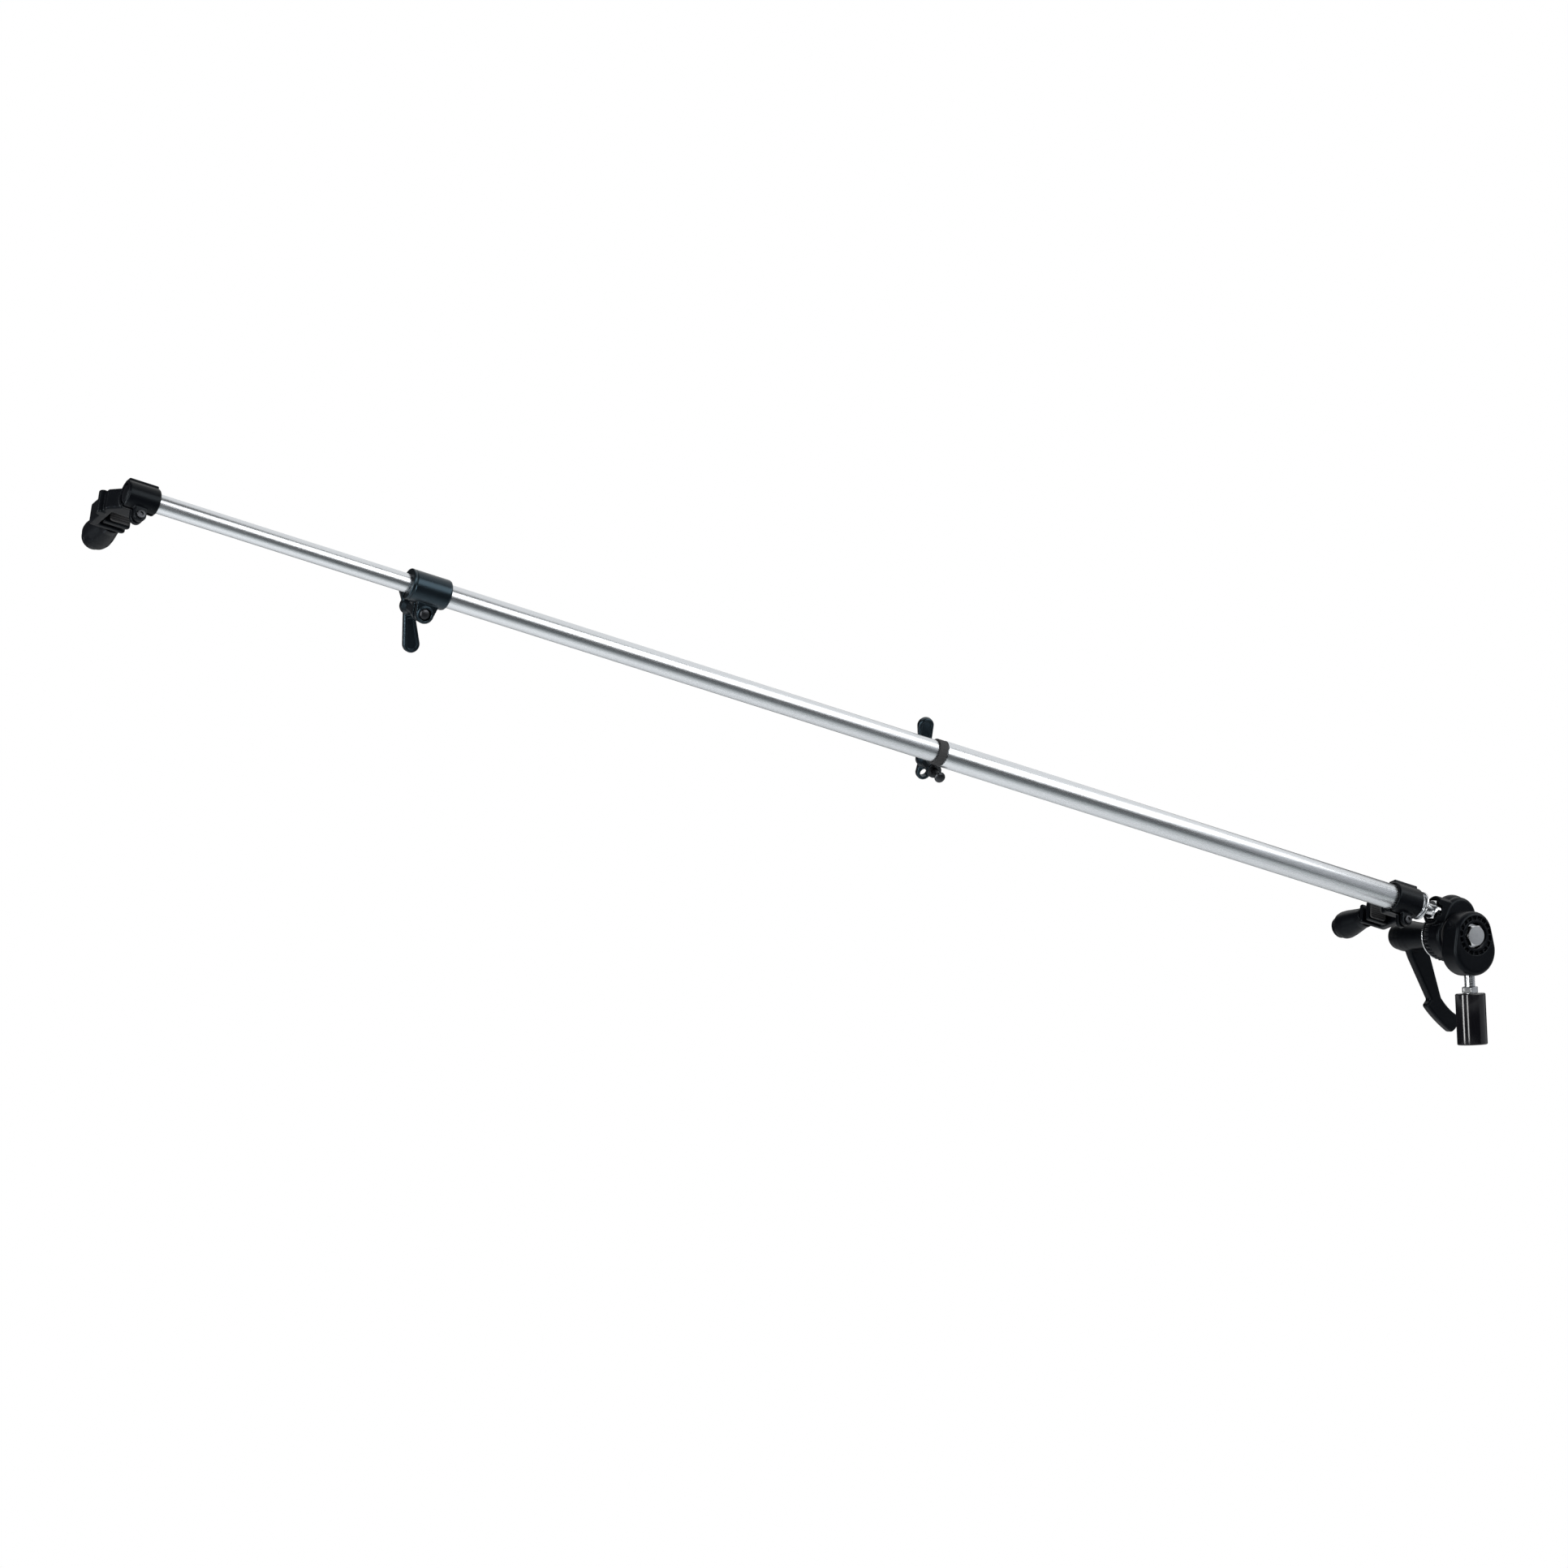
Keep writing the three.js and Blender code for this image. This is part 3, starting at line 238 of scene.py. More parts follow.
@dataclass(frozen=True)
class Moulding(Finish):
    """Black glass-filled nylon with a fine spark-eroded grain and edges that handling has polished."""

    grain_scale: float = 1700.0
    grain_depth: float = 0.00006
    drift_scale: float = 45.0
    edge_start: float = 0.53
    edge_width: float = 0.14
    edge_colour: Triple = (0.018, 0.021, 0.027)
    grain_rough: float = 0.06
    edge_smooth: float = 0.08
    sheen: float = 0.13
    # Painted bluish tint on the reflections, standing in for the bluish light round the set.
    painted_blue_tint: Triple = (0.80, 0.92, 1.0)
    grain_strength: float = 0.35
    wear_drift: float = 0.8
    wear_least: float = 0.2

    def shader(self, graph: Graph) -> bpy.types.Node:
        """Drifting black with grain, a little paler on the edges, and a painted bluish tint on its
        reflections.
        """
        at = graph.place()
        drift = graph.noise(at, self.drift_scale, 3.0)
        grain = graph.noise(at, self.grain_scale, 2.0)
        body = graph.blend(drift, self.low, self.high)
        geometry = graph.node("ShaderNodeNewGeometry", {}, {})
        edge = Field(graph, geometry.outputs["Pointiness"]).above(self.edge_start, self.edge_width)
        worn = edge * (drift * self.wear_drift + self.wear_least)
        rough = self.rough_low + self.rough_span * drift + self.grain_rough * grain - self.edge_smooth * worn
        return graph.node("ShaderNodeBsdfPrincipled", {}, {
            "Base Color": graph.blend(worn, body, self.edge_colour),
            "Roughness": rough,
            "Specular IOR Level": self.sheen,
            # The reflections take the painted bluish tint.
            "Specular Tint": (*self.painted_blue_tint, 1.0),
            "Normal": graph.bump(grain, self.grain_strength, self.grain_depth),
        })


@dataclass(frozen=True)
class PolishedMoulding(Moulding):
    """The smoother and shinier black of the clamp collars and their wings, with a stronger painted bluish
    tint on its reflections.
    """

    sheen: float = 0.55
    # Stronger painted bluish tint on the reflections, standing in for the bluish light round the set.
    painted_blue_tint: Triple = (0.52, 0.80, 1.0)

    def label(self) -> str:
        """The material's name."""
        return f"{self.slot.value}_polished"


@dataclass(frozen=True)
class GlossBlack(Finish):
    """Gloss black stoved paint on a turned socket, with faint turning marks below it."""

    drift_scale: float = 60.0
    ring_stretch: Triple = (8.0, 8.0, 900.0)
    ring_depth: float = 0.00002
    ring_strength: float = 0.12
    coat: float = 0.25
    coat_rough: float = 0.06

    def shader(self, graph: Graph) -> bpy.types.Node:
        """Deep black under a clear coat."""
        drift = graph.noise(graph.place(), self.drift_scale, 3.0)
        rings = graph.noise(graph.place(stretch=self.ring_stretch), 1.0, 2.0)
        return graph.node("ShaderNodeBsdfPrincipled", {}, {
            "Base Color": graph.blend(drift, self.low, self.high),
            "Roughness": self.rough_low + self.rough_span * drift,
            "Coat Weight": self.coat,
            "Coat Roughness": self.coat_rough,
            "Normal": graph.bump(rings, self.ring_strength, self.ring_depth),
        })


@dataclass(frozen=True)
class Rubber(Finish):
    """Matt black rubber with a fine bloom."""

    drift_scale: float = 120.0
    grain_scale: float = 2600.0
    grain_depth: float = 0.00005
    grain_strength: float = 0.4

    def shader(self, graph: Graph) -> bpy.types.Node:
        """Rough black with a dusty drift."""
        drift = graph.noise(graph.place(), self.drift_scale, 4.0)
        grain = graph.noise(graph.place(), self.grain_scale, 2.0)
        return graph.node("ShaderNodeBsdfPrincipled", {}, {
            "Base Color": graph.blend(drift, self.low, self.high),
            "Roughness": self.rough_low + self.rough_span * drift,
            "Normal": graph.bump(grain, self.grain_strength, self.grain_depth),
        })


@dataclass(frozen=True)
class Plated(Finish):
    """Bright plating or zinc on steel, with slight ripples and dulled patches."""

    ripple_scale: float = 260.0
    ripple_depth: float = 0.00005
    ripple_strength: float = 0.25
    drift_scale: float = 140.0

    def shader(self, graph: Graph) -> bpy.types.Node:
        """Metal whose gloss drifts."""
        drift = graph.noise(graph.place(), self.drift_scale, 4.0)
        ripple = graph.noise(graph.place(), self.ripple_scale, 3.0)
        return graph.node("ShaderNodeBsdfPrincipled", {}, {
            "Base Color": graph.blend(drift, self.low, self.high),
            "Metallic": 1.0,
            "Roughness": self.rough_low + self.rough_span * drift,
            "Normal": graph.bump(ripple, self.ripple_strength, self.ripple_depth),
        })


@dataclass(frozen=True)
class DrawnAluminium(Finish):
    """Satin anodised tube with fine drawing lines along it."""

    tilt: float = 0.0
    line_stretch: Triple = (5.0, 1500.0, 1500.0)
    line_depth: float = 0.00002
    line_strength: float = 0.10
    line_share: float = 0.6
    drift_stretch: Triple = (6.0, 60.0, 60.0)
    drift_share: float = 0.4
    drift_rough: float = 0.05

    def shader(self, graph: Graph) -> bpy.types.Node:
        """Metal with long fine streaks."""
        lines = graph.noise(graph.place(self.tilt, self.line_stretch), 1.0, 3.0)
        drift = graph.noise(graph.place(self.tilt, self.drift_stretch), 1.0, 3.0)
        return graph.node("ShaderNodeBsdfPrincipled", {}, {
            "Base Color": graph.blend(
                lines * self.line_share + drift * self.drift_share, self.low, self.high,
            ),
            "Metallic": 1.0,
            "Roughness": self.rough_low + self.rough_span * lines + self.drift_rough * drift,
            "Normal": graph.bump(lines, self.line_strength, self.line_depth),
        })


# Mesh making


def turned(profile: Profile, axis: Axis = Axis.Z, steps: int = 96) -> Mesh:
    """A turned piece.

    Args:
        profile: (radius, station) pairs that start and end on the axis or close on themselves.
        axis: the axis that it is turned about.
        steps: how many flats the round has.

    Returns:
        The closed mesh, in millimetres.
    """
    bm = bmesh.new()
    ring = profile[0] == profile[-1]
    verts = [bm.verts.new((radius, 0.0, station)) for radius, station in (profile[:-1] if ring else profile)]
    pairs = list(zip(verts, verts[1:])) + ([(verts[-1], verts[0])] if ring else [])
    edges = [bm.edges.new(pair) for pair in pairs]
    bmesh.ops.spin(
        bm, geom=verts + edges, cent=(0, 0, 0), axis=(0, 0, 1), angle=2 * math.pi,
        steps=steps, use_merge=True, use_duplicate=False,
    )
    bmesh.ops.remove_doubles(bm, verts=bm.verts, dist=MERGE)
    bmesh.ops.recalc_face_normals(bm, faces=bm.faces)
    bm.transform(axis.value)
    return bm


def rod(radius: float, low: float, high: float, axis: Axis = Axis.Z, steps: int = 96) -> Mesh:
    """A plain round bar between two stations."""
    return turned([(0.0, low), (radius, low), (radius, high), (0.0, high)], axis, steps)


def sleeve(outer: float, inner: float, low: float, high: float, axis: Axis = Axis.Z, steps: int = 96) -> Mesh:
    """A ring or sleeve between two stations."""
    return turned([(inner, low), (outer, low), (outer, high), (inner, high), (inner, low)], axis, steps)


def threaded(radius: float, depth: float, pitch: float, low: float, high: float, axis: Axis) -> Mesh:
    """A bar with thread grooves and chamfered ends.

    Args:
        radius: crest radius.
        depth: groove depth.
        pitch: distance from crest to crest.
        low: first station.
        high: last station.
        axis: the axis that it lies along.

    Returns:
        The closed mesh.
    """
    crest_start, crest_end = 0.38, 0.62
    turns = max(1, int((high - low - 2 * depth) / pitch))
    start = low + ((high - low) - turns * pitch) / 2
    profile: Profile = [(0.0, low), (radius - depth, low)]
    for turn in range(turns):
        at = start + turn * pitch
        profile += [
            (radius - depth, at), (radius, at + pitch * crest_start), (radius, at + pitch * crest_end),
        ]
    profile += [(radius - depth, start + turns * pitch), (radius - depth, high), (0.0, high)]
    return turned(profile, axis, 64)


def slab(outline: Profile, low: float, high: float, axis: Axis = Axis.Z) -> Mesh:
    """A flat outline given thickness.

    Args:
        outline: corner points; for Axis.Y the second coordinate runs along Z, for Axis.X both run along Y, Z.
        low: first station along the axis.
        high: last station along the axis.
        axis: the axis that the thickness lies along.

    Returns:
        The closed mesh.
    """
    bm = bmesh.new()
    flip = axis is Axis.Y
    base = -high if flip else low
    face = bm.faces.new([bm.verts.new((a, b, base)) for a, b in outline])
    made = bmesh.ops.extrude_face_region(bm, geom=[face])["geom"]
    risen = [item for item in made if isinstance(item, bmesh.types.BMVert)]
    bmesh.ops.translate(bm, verts=risen, vec=(0, 0, high - low))
    bmesh.ops.recalc_face_normals(bm, faces=bm.faces)
    if flip:
        bm.transform(Matrix.Rotation(math.pi / 2, 4, "X"))
    elif axis is Axis.X:
        bm.transform(axis.value @ Matrix.Rotation(math.pi / 2, 4, "Z"))
    return bm


def block(size: Triple, centre: Triple) -> Mesh:
    """A rectangular block."""
    bm = bmesh.new()
    bmesh.ops.create_cube(bm, size=1.0, matrix=Matrix.Translation(centre) @ Matrix.Diagonal((*size, 1.0)))
    return bm


def moved(bm: Mesh, by: Triple) -> Mesh:
    """The same mesh, moved."""
    bmesh.ops.translate(bm, verts=bm.verts, vec=by)
    return bm


def rotated(bm: Mesh, degrees: float, about: str) -> Mesh:
    """The same mesh, turned about an axis through its origin."""
    bm.transform(Matrix.Rotation(math.radians(degrees), 4, about))
    return bm


def softened(bm: Mesh, width: float, segments: int = 3, angle: float = 35.0) -> Mesh:
    """The same mesh with its sharp edges rounded.

    Args:
        bm: the mesh.
        width: size of the round.
        segments: steps of the round.
        angle: edges that turn by more than this many degrees are rounded.

    Returns:
        The mesh.
    """
    bm.normal_update()
    limit = math.radians(angle)
    sharp = [edge for edge in bm.edges if len(edge.link_faces) == 2 and edge.calc_face_angle(0.0) > limit]
    bmesh.ops.bevel(
        bm, geom=sharp, offset=width, offset_type="OFFSET", affect="EDGES", segments=segments,
        profile=0.5, material=-1, clamp_overlap=True, loop_slide=True,
    )
    return bm


def arc(centre: Pair, radius: float, start: float, end: float, steps: int = 12) -> Profile:
    """Points along an arc, both ends included, angles in degrees."""
    return [
        (
            centre[0] + radius * math.cos(math.radians(start + (end - start) * step / steps)),
            centre[1] + radius * math.sin(math.radians(start + (end - start) * step / steps)),
        )
        for step in range(steps + 1)
    ]


def swept(first: Pair, pull: Pair, last: Pair, steps: int = 10) -> Profile:
    """Points along a curve that a third point pulls, without its first point."""
    points = []
    for step in range(1, steps + 1):
        share = step / steps
        weights = ((1 - share) ** 2, 2 * share * (1 - share), share ** 2)
        points.append(tuple(sum(w * p[i] for w, p in zip(weights, (first, pull, last))) for i in range(2)))
    return points


def dome(radius: float, base: float, height: float, start: int = 0, step: int = 15) -> Profile:
    """The rounded part of a turned piece's end, from an angle in degrees up to just before its axis."""
    angles = [math.radians(angle) for angle in range(start, 90, step)]
    return [(radius * math.cos(angle), base + height * math.sin(angle)) for angle in angles]


def capsule(upper: float, upper_at: float, lower: float, lower_at: float, steps: int = 40) -> Profile:
    """The outline round two circles on the second axis, the first one higher."""
    lean = math.degrees(math.asin((lower - upper) / (upper_at - lower_at)))
    top = arc((0.0, upper_at), upper, lean, 180 - lean, steps)
    return top + arc((0.0, lower_at), lower, 180 - lean, 360 + lean, steps)


def toothed(tip: float, depth: float, teeth: int) -> Profile:
    """A round outline with shallow teeth."""
    root = tip - depth
    flanks = ((root, -0.42), (root, -0.30), (tip, -0.14), (tip, 0.14), (root, 0.30))
    points = []
    for tooth in range(teeth):
        for radius, share in flanks:
            angle = 2 * math.pi * (tooth + share) / teeth
            points.append((radius * math.cos(angle), radius * math.sin(angle)))
    return points


def hexagon(flats: float) -> Profile:
    """A hexagon by its width across flats, with a corner on the first axis."""
    corner = flats / math.sqrt(3)
    angles = [math.radians(60 * side) for side in range(6)]
    return [(corner * math.cos(angle), corner * math.sin(angle)) for angle in angles]


class Workpiece:
    """A piece being joined and cut from simpler meshes, in millimetres, in its sub-assembly's frame."""

    def __init__(self, start: Mesh) -> None:
        """Starts from one closed mesh."""
        self.object = self._temporary(start)
        self.tools: list[bpy.types.Object] = []

    @staticmethod
    def _temporary(bm: Mesh) -> bpy.types.Object:
        """A throwaway object that holds a mesh."""
        data = bpy.data.meshes.new("workpiece")
        bm.to_mesh(data)
        bm.free()
        made = bpy.data.objects.new("workpiece", data)
        bpy.context.scene.collection.objects.link(made)
        return made

    def _boolean(self, operation: str, tools: tuple[Mesh, ...]) -> "Workpiece":
        """Adds one boolean step for each tool."""
        for tool in tools:
            other = self._temporary(tool)
            self.tools.append(other)
            step = self.object.modifiers.new(operation, "BOOLEAN")
            step.operation = operation
            step.object = other
            step.solver = "EXACT"
        return self

    def join(self, *tools: Mesh) -> "Workpiece":
        """Joins meshes to the piece."""
        return self._boolean("UNION", tools)

    def cut(self, *tools: Mesh) -> "Workpiece":
        """Cuts meshes from the piece."""
        return self._boolean("DIFFERENCE", tools)

    def keep(self, *tools: Mesh) -> "Workpiece":
        """Keeps only what lies inside the meshes."""
        return self._boolean("INTERSECT", tools)

    def mould(self, voxel: float, rounds: int = 3) -> "Workpiece":
        """Makes one skin of the piece, with every edge and inner corner slightly rounded.

        Args:
            voxel: grid size of the skin.
            rounds: how often the skin is smoothed.

        Returns:
            The piece.
        """
        skin = self.object.modifiers.new("skin", "REMESH")
        skin.mode = "VOXEL"
        skin.voxel_size = voxel
        ease = self.object.modifiers.new("ease", "SMOOTH")
        ease.factor = 0.5
        ease.iterations = rounds
        return self

    def mesh(self) -> Mesh:
        """The finished mesh; the throwaway objects go."""
        bpy.context.view_layer.update()
        depsgraph = bpy.context.evaluated_depsgraph_get()
        data = bpy.data.meshes.new_from_object(self.object.evaluated_get(depsgraph))
        bm = bmesh.new()
        bm.from_mesh(data)
        for thing in (*self.tools, self.object):
            held = thing.data
            bpy.data.objects.remove(thing)
            bpy.data.meshes.remove(held)
        bpy.data.meshes.remove(data)
        return bm


# Places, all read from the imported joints


def joint(name: str) -> dict[str, Any]:
    """One packed joint by name."""
    return next(item for item in frame["joints"] if item["name"] == name)


def place_of(origin: Vector, x: Vector, y: Vector) -> Matrix:
    """The matrix from millimetres in a sub-assembly's frame to metres in the row frame.

    Args:
        origin: the frame's origin, in metres.
        x: its first axis.
        y: its second axis.

    Returns:
        The matrix.
    """
    axes = Matrix((x, y, x.cross(y))).transposed().to_4x4()
    return Matrix.Translation(origin) @ axes @ Matrix.Scale(MM, 4)


ALONG = Vector(joint("middle_slide")["axis"]).normalized()
NEARWARD = Vector((0.0, -1.0, 0.0))
TILT = math.atan2(ALONG.z, -ALONG.x)
PIVOT = Vector((0.0, 0.0, joint("arm_tilt")["pos_m"][2]))
HEAD_GRIP_STATION = 57.0
AXIS_ORIGIN = Vector(joint("head_swivel")["pos_m"]) - ALONG * HEAD_GRIP_STATION * MM
STAND_PLACE = Matrix.Scale(MM, 4)
HEAD_PLACE = place_of(PIVOT, Vector((1.0, 0.0, 0.0)), Vector((0.0, 1.0, 0.0)))
ARM_PLACE = place_of(PIVOT, ALONG, NEARWARD)
TUBE_PLACE = place_of(AXIS_ORIGIN, ALONG, NEARWARD)

FINISHES = {
    Slot.MOULDING: Moulding(Slot.MOULDING, (0.0010, 0.0012, 0.0020), (0.0028, 0.0032, 0.0045), 0.23, 0.10),
    Slot.GLOSS: GlossBlack(Slot.GLOSS, (0.003, 0.003, 0.004), (0.006, 0.006, 0.008), 0.10, 0.06),
    Slot.RUBBER: Rubber(Slot.RUBBER, (0.018, 0.018, 0.019), (0.034, 0.034, 0.036), 0.68, 0.20),
    Slot.CHROME: Plated(Slot.CHROME, (0.60, 0.62, 0.64), (0.80, 0.81, 0.82), 0.10, 0.14),
    Slot.ZINC: Plated(Slot.ZINC, (0.035, 0.037, 0.041), (0.075, 0.078, 0.085), 0.24, 0.20, 420.0),
    Slot.ALUMINIUM: DrawnAluminium(
        Slot.ALUMINIUM, (0.62, 0.65, 0.68), (0.80, 0.82, 0.84), 0.20, 0.10, tilt=-TILT,
    ),
}
# Shinier black for the collars and wings, whose reflections carry a stronger painted bluish tint.
POLISHED = PolishedMoulding(Slot.MOULDING, (0.0014, 0.0018, 0.0026), (0.0032, 0.0040, 0.0052), 0.20, 0.12)


def dress(node: str, slot: Slot) -> None:
    """Gives a CAD node that stays its finish."""
    data = frame["nodes"][node].data
    data.materials.clear()
    data.materials.append(FINISHES[slot].material())
    log.info("dressed %s", node)


@dataclass(frozen=True)
class Maker:
    """Turns finished meshes into pieces that ride on one body."""

    body: str
    place: Matrix
    crease: float = 30.0

    def piece(
        self, name: str, mesh: Mesh, slot: Slot, *nodes: str, finish: Finish | None = None,
    ) -> bpy.types.Object:
        """Makes a piece.

        Args:
            name: the piece's name.
            mesh: its mesh, in millimetres, in this maker's frame.
            slot: the finish that it takes.
            nodes: the CAD nodes that it stands for.
            finish: a finish other than its slot's usual one.

        Returns:
            The new object.
        """
        mesh.transform(self.place)
        data = bpy.data.meshes.new(name)
        mesh.to_mesh(data)
        mesh.free()
        data.shade_smooth()
        data.set_sharp_from_angle(angle=math.radians(self.crease))
        data.materials.append((finish or FINISHES[slot]).material())
        made = bpy.data.objects.new(name, data)
        bpy.context.scene.collection.objects.link(made)
        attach(made, self.body)
        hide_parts(*nodes)
        log.info("made %s: %d faces on %s", name, len(data.polygons), self.body)
        return made


def hex_nut(flats: float, low: float, high: float, axis: Axis, bore: float = 0.0, domed: float = 0.0) -> Mesh:
    """A hexagonal nut or bolt head with turned-off corners.

    Args:
        flats: width across flats.
        low: first station.
        high: last station.
        axis: the axis that it lies along.
        bore: radius of its hole, or 0.
        domed: how far its low end rises in the middle.

    Returns:
        The mesh.
    """
    corner = flats / math.sqrt(3)
    chamfer = corner - flats / 2
    face = flats / 2 * 0.97
    crown_radius, crown_rise = corner * 0.55, domed * 0.6
    prism = softened(slab(hexagon(flats), low - 2 * domed - 1.0, high + 1.0, axis), 0.3, 3, 50.0)
    body = turned([
        (0.0, low - domed), (crown_radius, low - crown_rise), (face, low), (corner, low + chamfer),
        (corner, high - chamfer), (face, high), (0.0, high),
    ], axis)
    nut = Workpiece(prism).keep(body)
    if bore:
        nut.cut(rod(bore, low - PAST, high + PAST, axis))
    return nut.mesh()


# Sub-assemblies


@dataclass
class StandFitting:
    """Socket, stud, nut and the near half of the tilting head."""

    socket_radius: float = 13.25
    socket_height: float = 45.0
    bore_radius: float = 8.15
    bore_depth: float = 36.0
    rim: float = 0.8
    screw_radius: float = 3.3
    screw_height: float = 14.0
    stud_radius: float = 4.75
    stud_top: float = 66.3
    stud_sunk: float = 6.0
    thread_depth: float = 0.5
    thread_pitch: float = 1.25
    nut_flats: float = 13.0
    nut_height: float = 5.6
    gap: float = 0.3
    top_radius: float = 19.5
    top_rise: float = 1.75
    foot_radius: float = 22.3
    foot_drop: float = 12.9
    near_face: float = 12.0
    far_face: float = 12.0
    edge_round: float = 4.6
    well_radius: float = 11.4
    well_wall: float = 2.4
    well_floor: float = 6.0
    pocket_radius: float = 17.2
    pocket_depth: float = 3.4
    ribs: int = 18
    rib_width: float = 1.5
    rib_sink: float = 0.8
    bolt_radius: float = 4.0
    bolt_flats: float = 17.0
    bolt_head: float = 5.2
    washer_radius: float = 10.4
    washer_thickness: float = 1.2
    disc_outer: float = 18.5
    disc_thickness: float = 1.0
    bolt_end: float = 55.0
    skin: float = 0.42

    def build(self) -> None:
        """Makes and dresses every piece."""
        stand = Maker("stand_fitting", STAND_PLACE)
        head = Maker("stand_fitting", HEAD_PLACE)
        stand.piece("socket_shell", self.socket(), Slot.GLOSS, "stand_socket")
        stand.piece("head_stud_thread", self.stud(), Slot.CHROME, "head_stud")
        nut_foot = self.socket_height + self.gap
        nut = hex_nut(
            self.nut_flats, nut_foot, nut_foot + self.nut_height, Axis.Z, self.stud_radius + self.gap,
        )
        stand.piece("socket_lock_nut", nut, Slot.CHROME, "stud_nut")
        head.piece("tilt_base_moulding", self.base(), Slot.MOULDING, "tilt_base")
        head.piece("tilt_friction_ring", self.friction_ring(), Slot.RUBBER, "friction_disc")
        head.piece("bolt_head_washer", self.washer(), Slot.CHROME, "bolt_washer")
        head.piece("tilt_bolt", self.bolt(), Slot.CHROME, "pivot_bolt")
        dress("socket_set_screw", Slot.ZINC)

    def socket(self) -> Mesh:
        """The turned socket with its set screw's hole."""
        hole = self.stud_radius + self.gap
        shell = turned([
            (hole, self.bore_depth),
            (self.bore_radius, self.bore_depth),
            (self.bore_radius, self.rim),
            (self.bore_radius + self.rim, 0.0),
            (self.socket_radius - self.rim, 0.0),
            (self.socket_radius, self.rim),
            (self.socket_radius, self.socket_height - self.rim),
            (self.socket_radius - self.rim, self.socket_height),
            (hole, self.socket_height),
            (hole, self.bore_depth),
        ], steps=128)
        shell = softened(shell, 0.25, 3, 20.0)
        screw = rod(self.screw_radius, 0.0, self.socket_radius + PAST, Axis.Y, 48)
        screw = moved(screw, (0.0, 0.0, self.screw_height))
        return Workpiece(shell).cut(screw).mesh()

    def stud(self) -> Mesh:
        """The threaded stud between the socket and the head."""
        foot = self.bore_depth + self.gap
        return threaded(self.stud_radius, self.thread_depth, self.thread_pitch, foot, self.stud_top, Axis.Z)

    def base(self) -> Mesh:
        """The near half: a thick rounded capsule with a ribbed pocket round the bolt head's well."""
        face = -self.near_face
        floor = face + self.pocket_depth
        outer = self.well_radius + self.well_wall
        outline = capsule(self.top_radius, self.top_rise, self.foot_radius, -self.foot_drop)
        body = softened(slab(outline, face, self.far_face, Axis.Y), self.edge_round, 6, 60.0)
        piece = Workpiece(body).cut(
            sleeve(self.pocket_radius, outer, face - PAST, floor, Axis.Y),
            rod(self.well_radius, face - PAST, -self.well_floor, Axis.Y),
        )
        rooted = 0.5
        height = self.pocket_depth - self.rib_sink + rooted
        size = (self.pocket_radius - outer + 2 * rooted, height, self.rib_width)
        centre = ((self.pocket_radius + outer) / 2, floor + rooted - height / 2, 0.0)
        for index in range(self.ribs):
            piece.join(rotated(block(size, centre), 360.0 * index / self.ribs, "Y"))
        piece.cut(rod(self.bolt_radius + self.gap, face - PAST, self.far_face + PAST, Axis.Y))
        foot = -self.foot_drop - self.foot_radius
        piece.cut(rod(self.stud_radius + self.gap, foot - PAST, foot + self.stud_sunk + self.gap, Axis.Z))
        return piece.mould(self.skin).mesh()

    def friction_ring(self) -> Mesh:
        """The disc between the two halves of the head."""
        low = self.far_face + self.gap
        high = low + self.disc_thickness
        return softened(sleeve(self.disc_outer, self.bolt_radius + self.gap, low, high, Axis.Y), 0.15)

    def washer(self) -> Mesh:
        """The washer under the bolt head."""
        high = -self.well_floor - self.gap
        low = high - self.washer_thickness
        return softened(sleeve(self.washer_radius, self.bolt_radius + self.gap, low, high, Axis.Y), 0.2)

    def bolt(self) -> Mesh:
        """The hexagon bolt on the tilt axis."""
        high = -self.well_floor - 2 * self.gap - self.washer_thickness
        head = hex_nut(self.bolt_flats, high - self.bolt_head, high, Axis.Y, domed=0.25)
        shank = rod(self.bolt_radius, high - 1.0, self.bolt_end, Axis.Y)
        return Workpiece(head).join(shank).mesh()


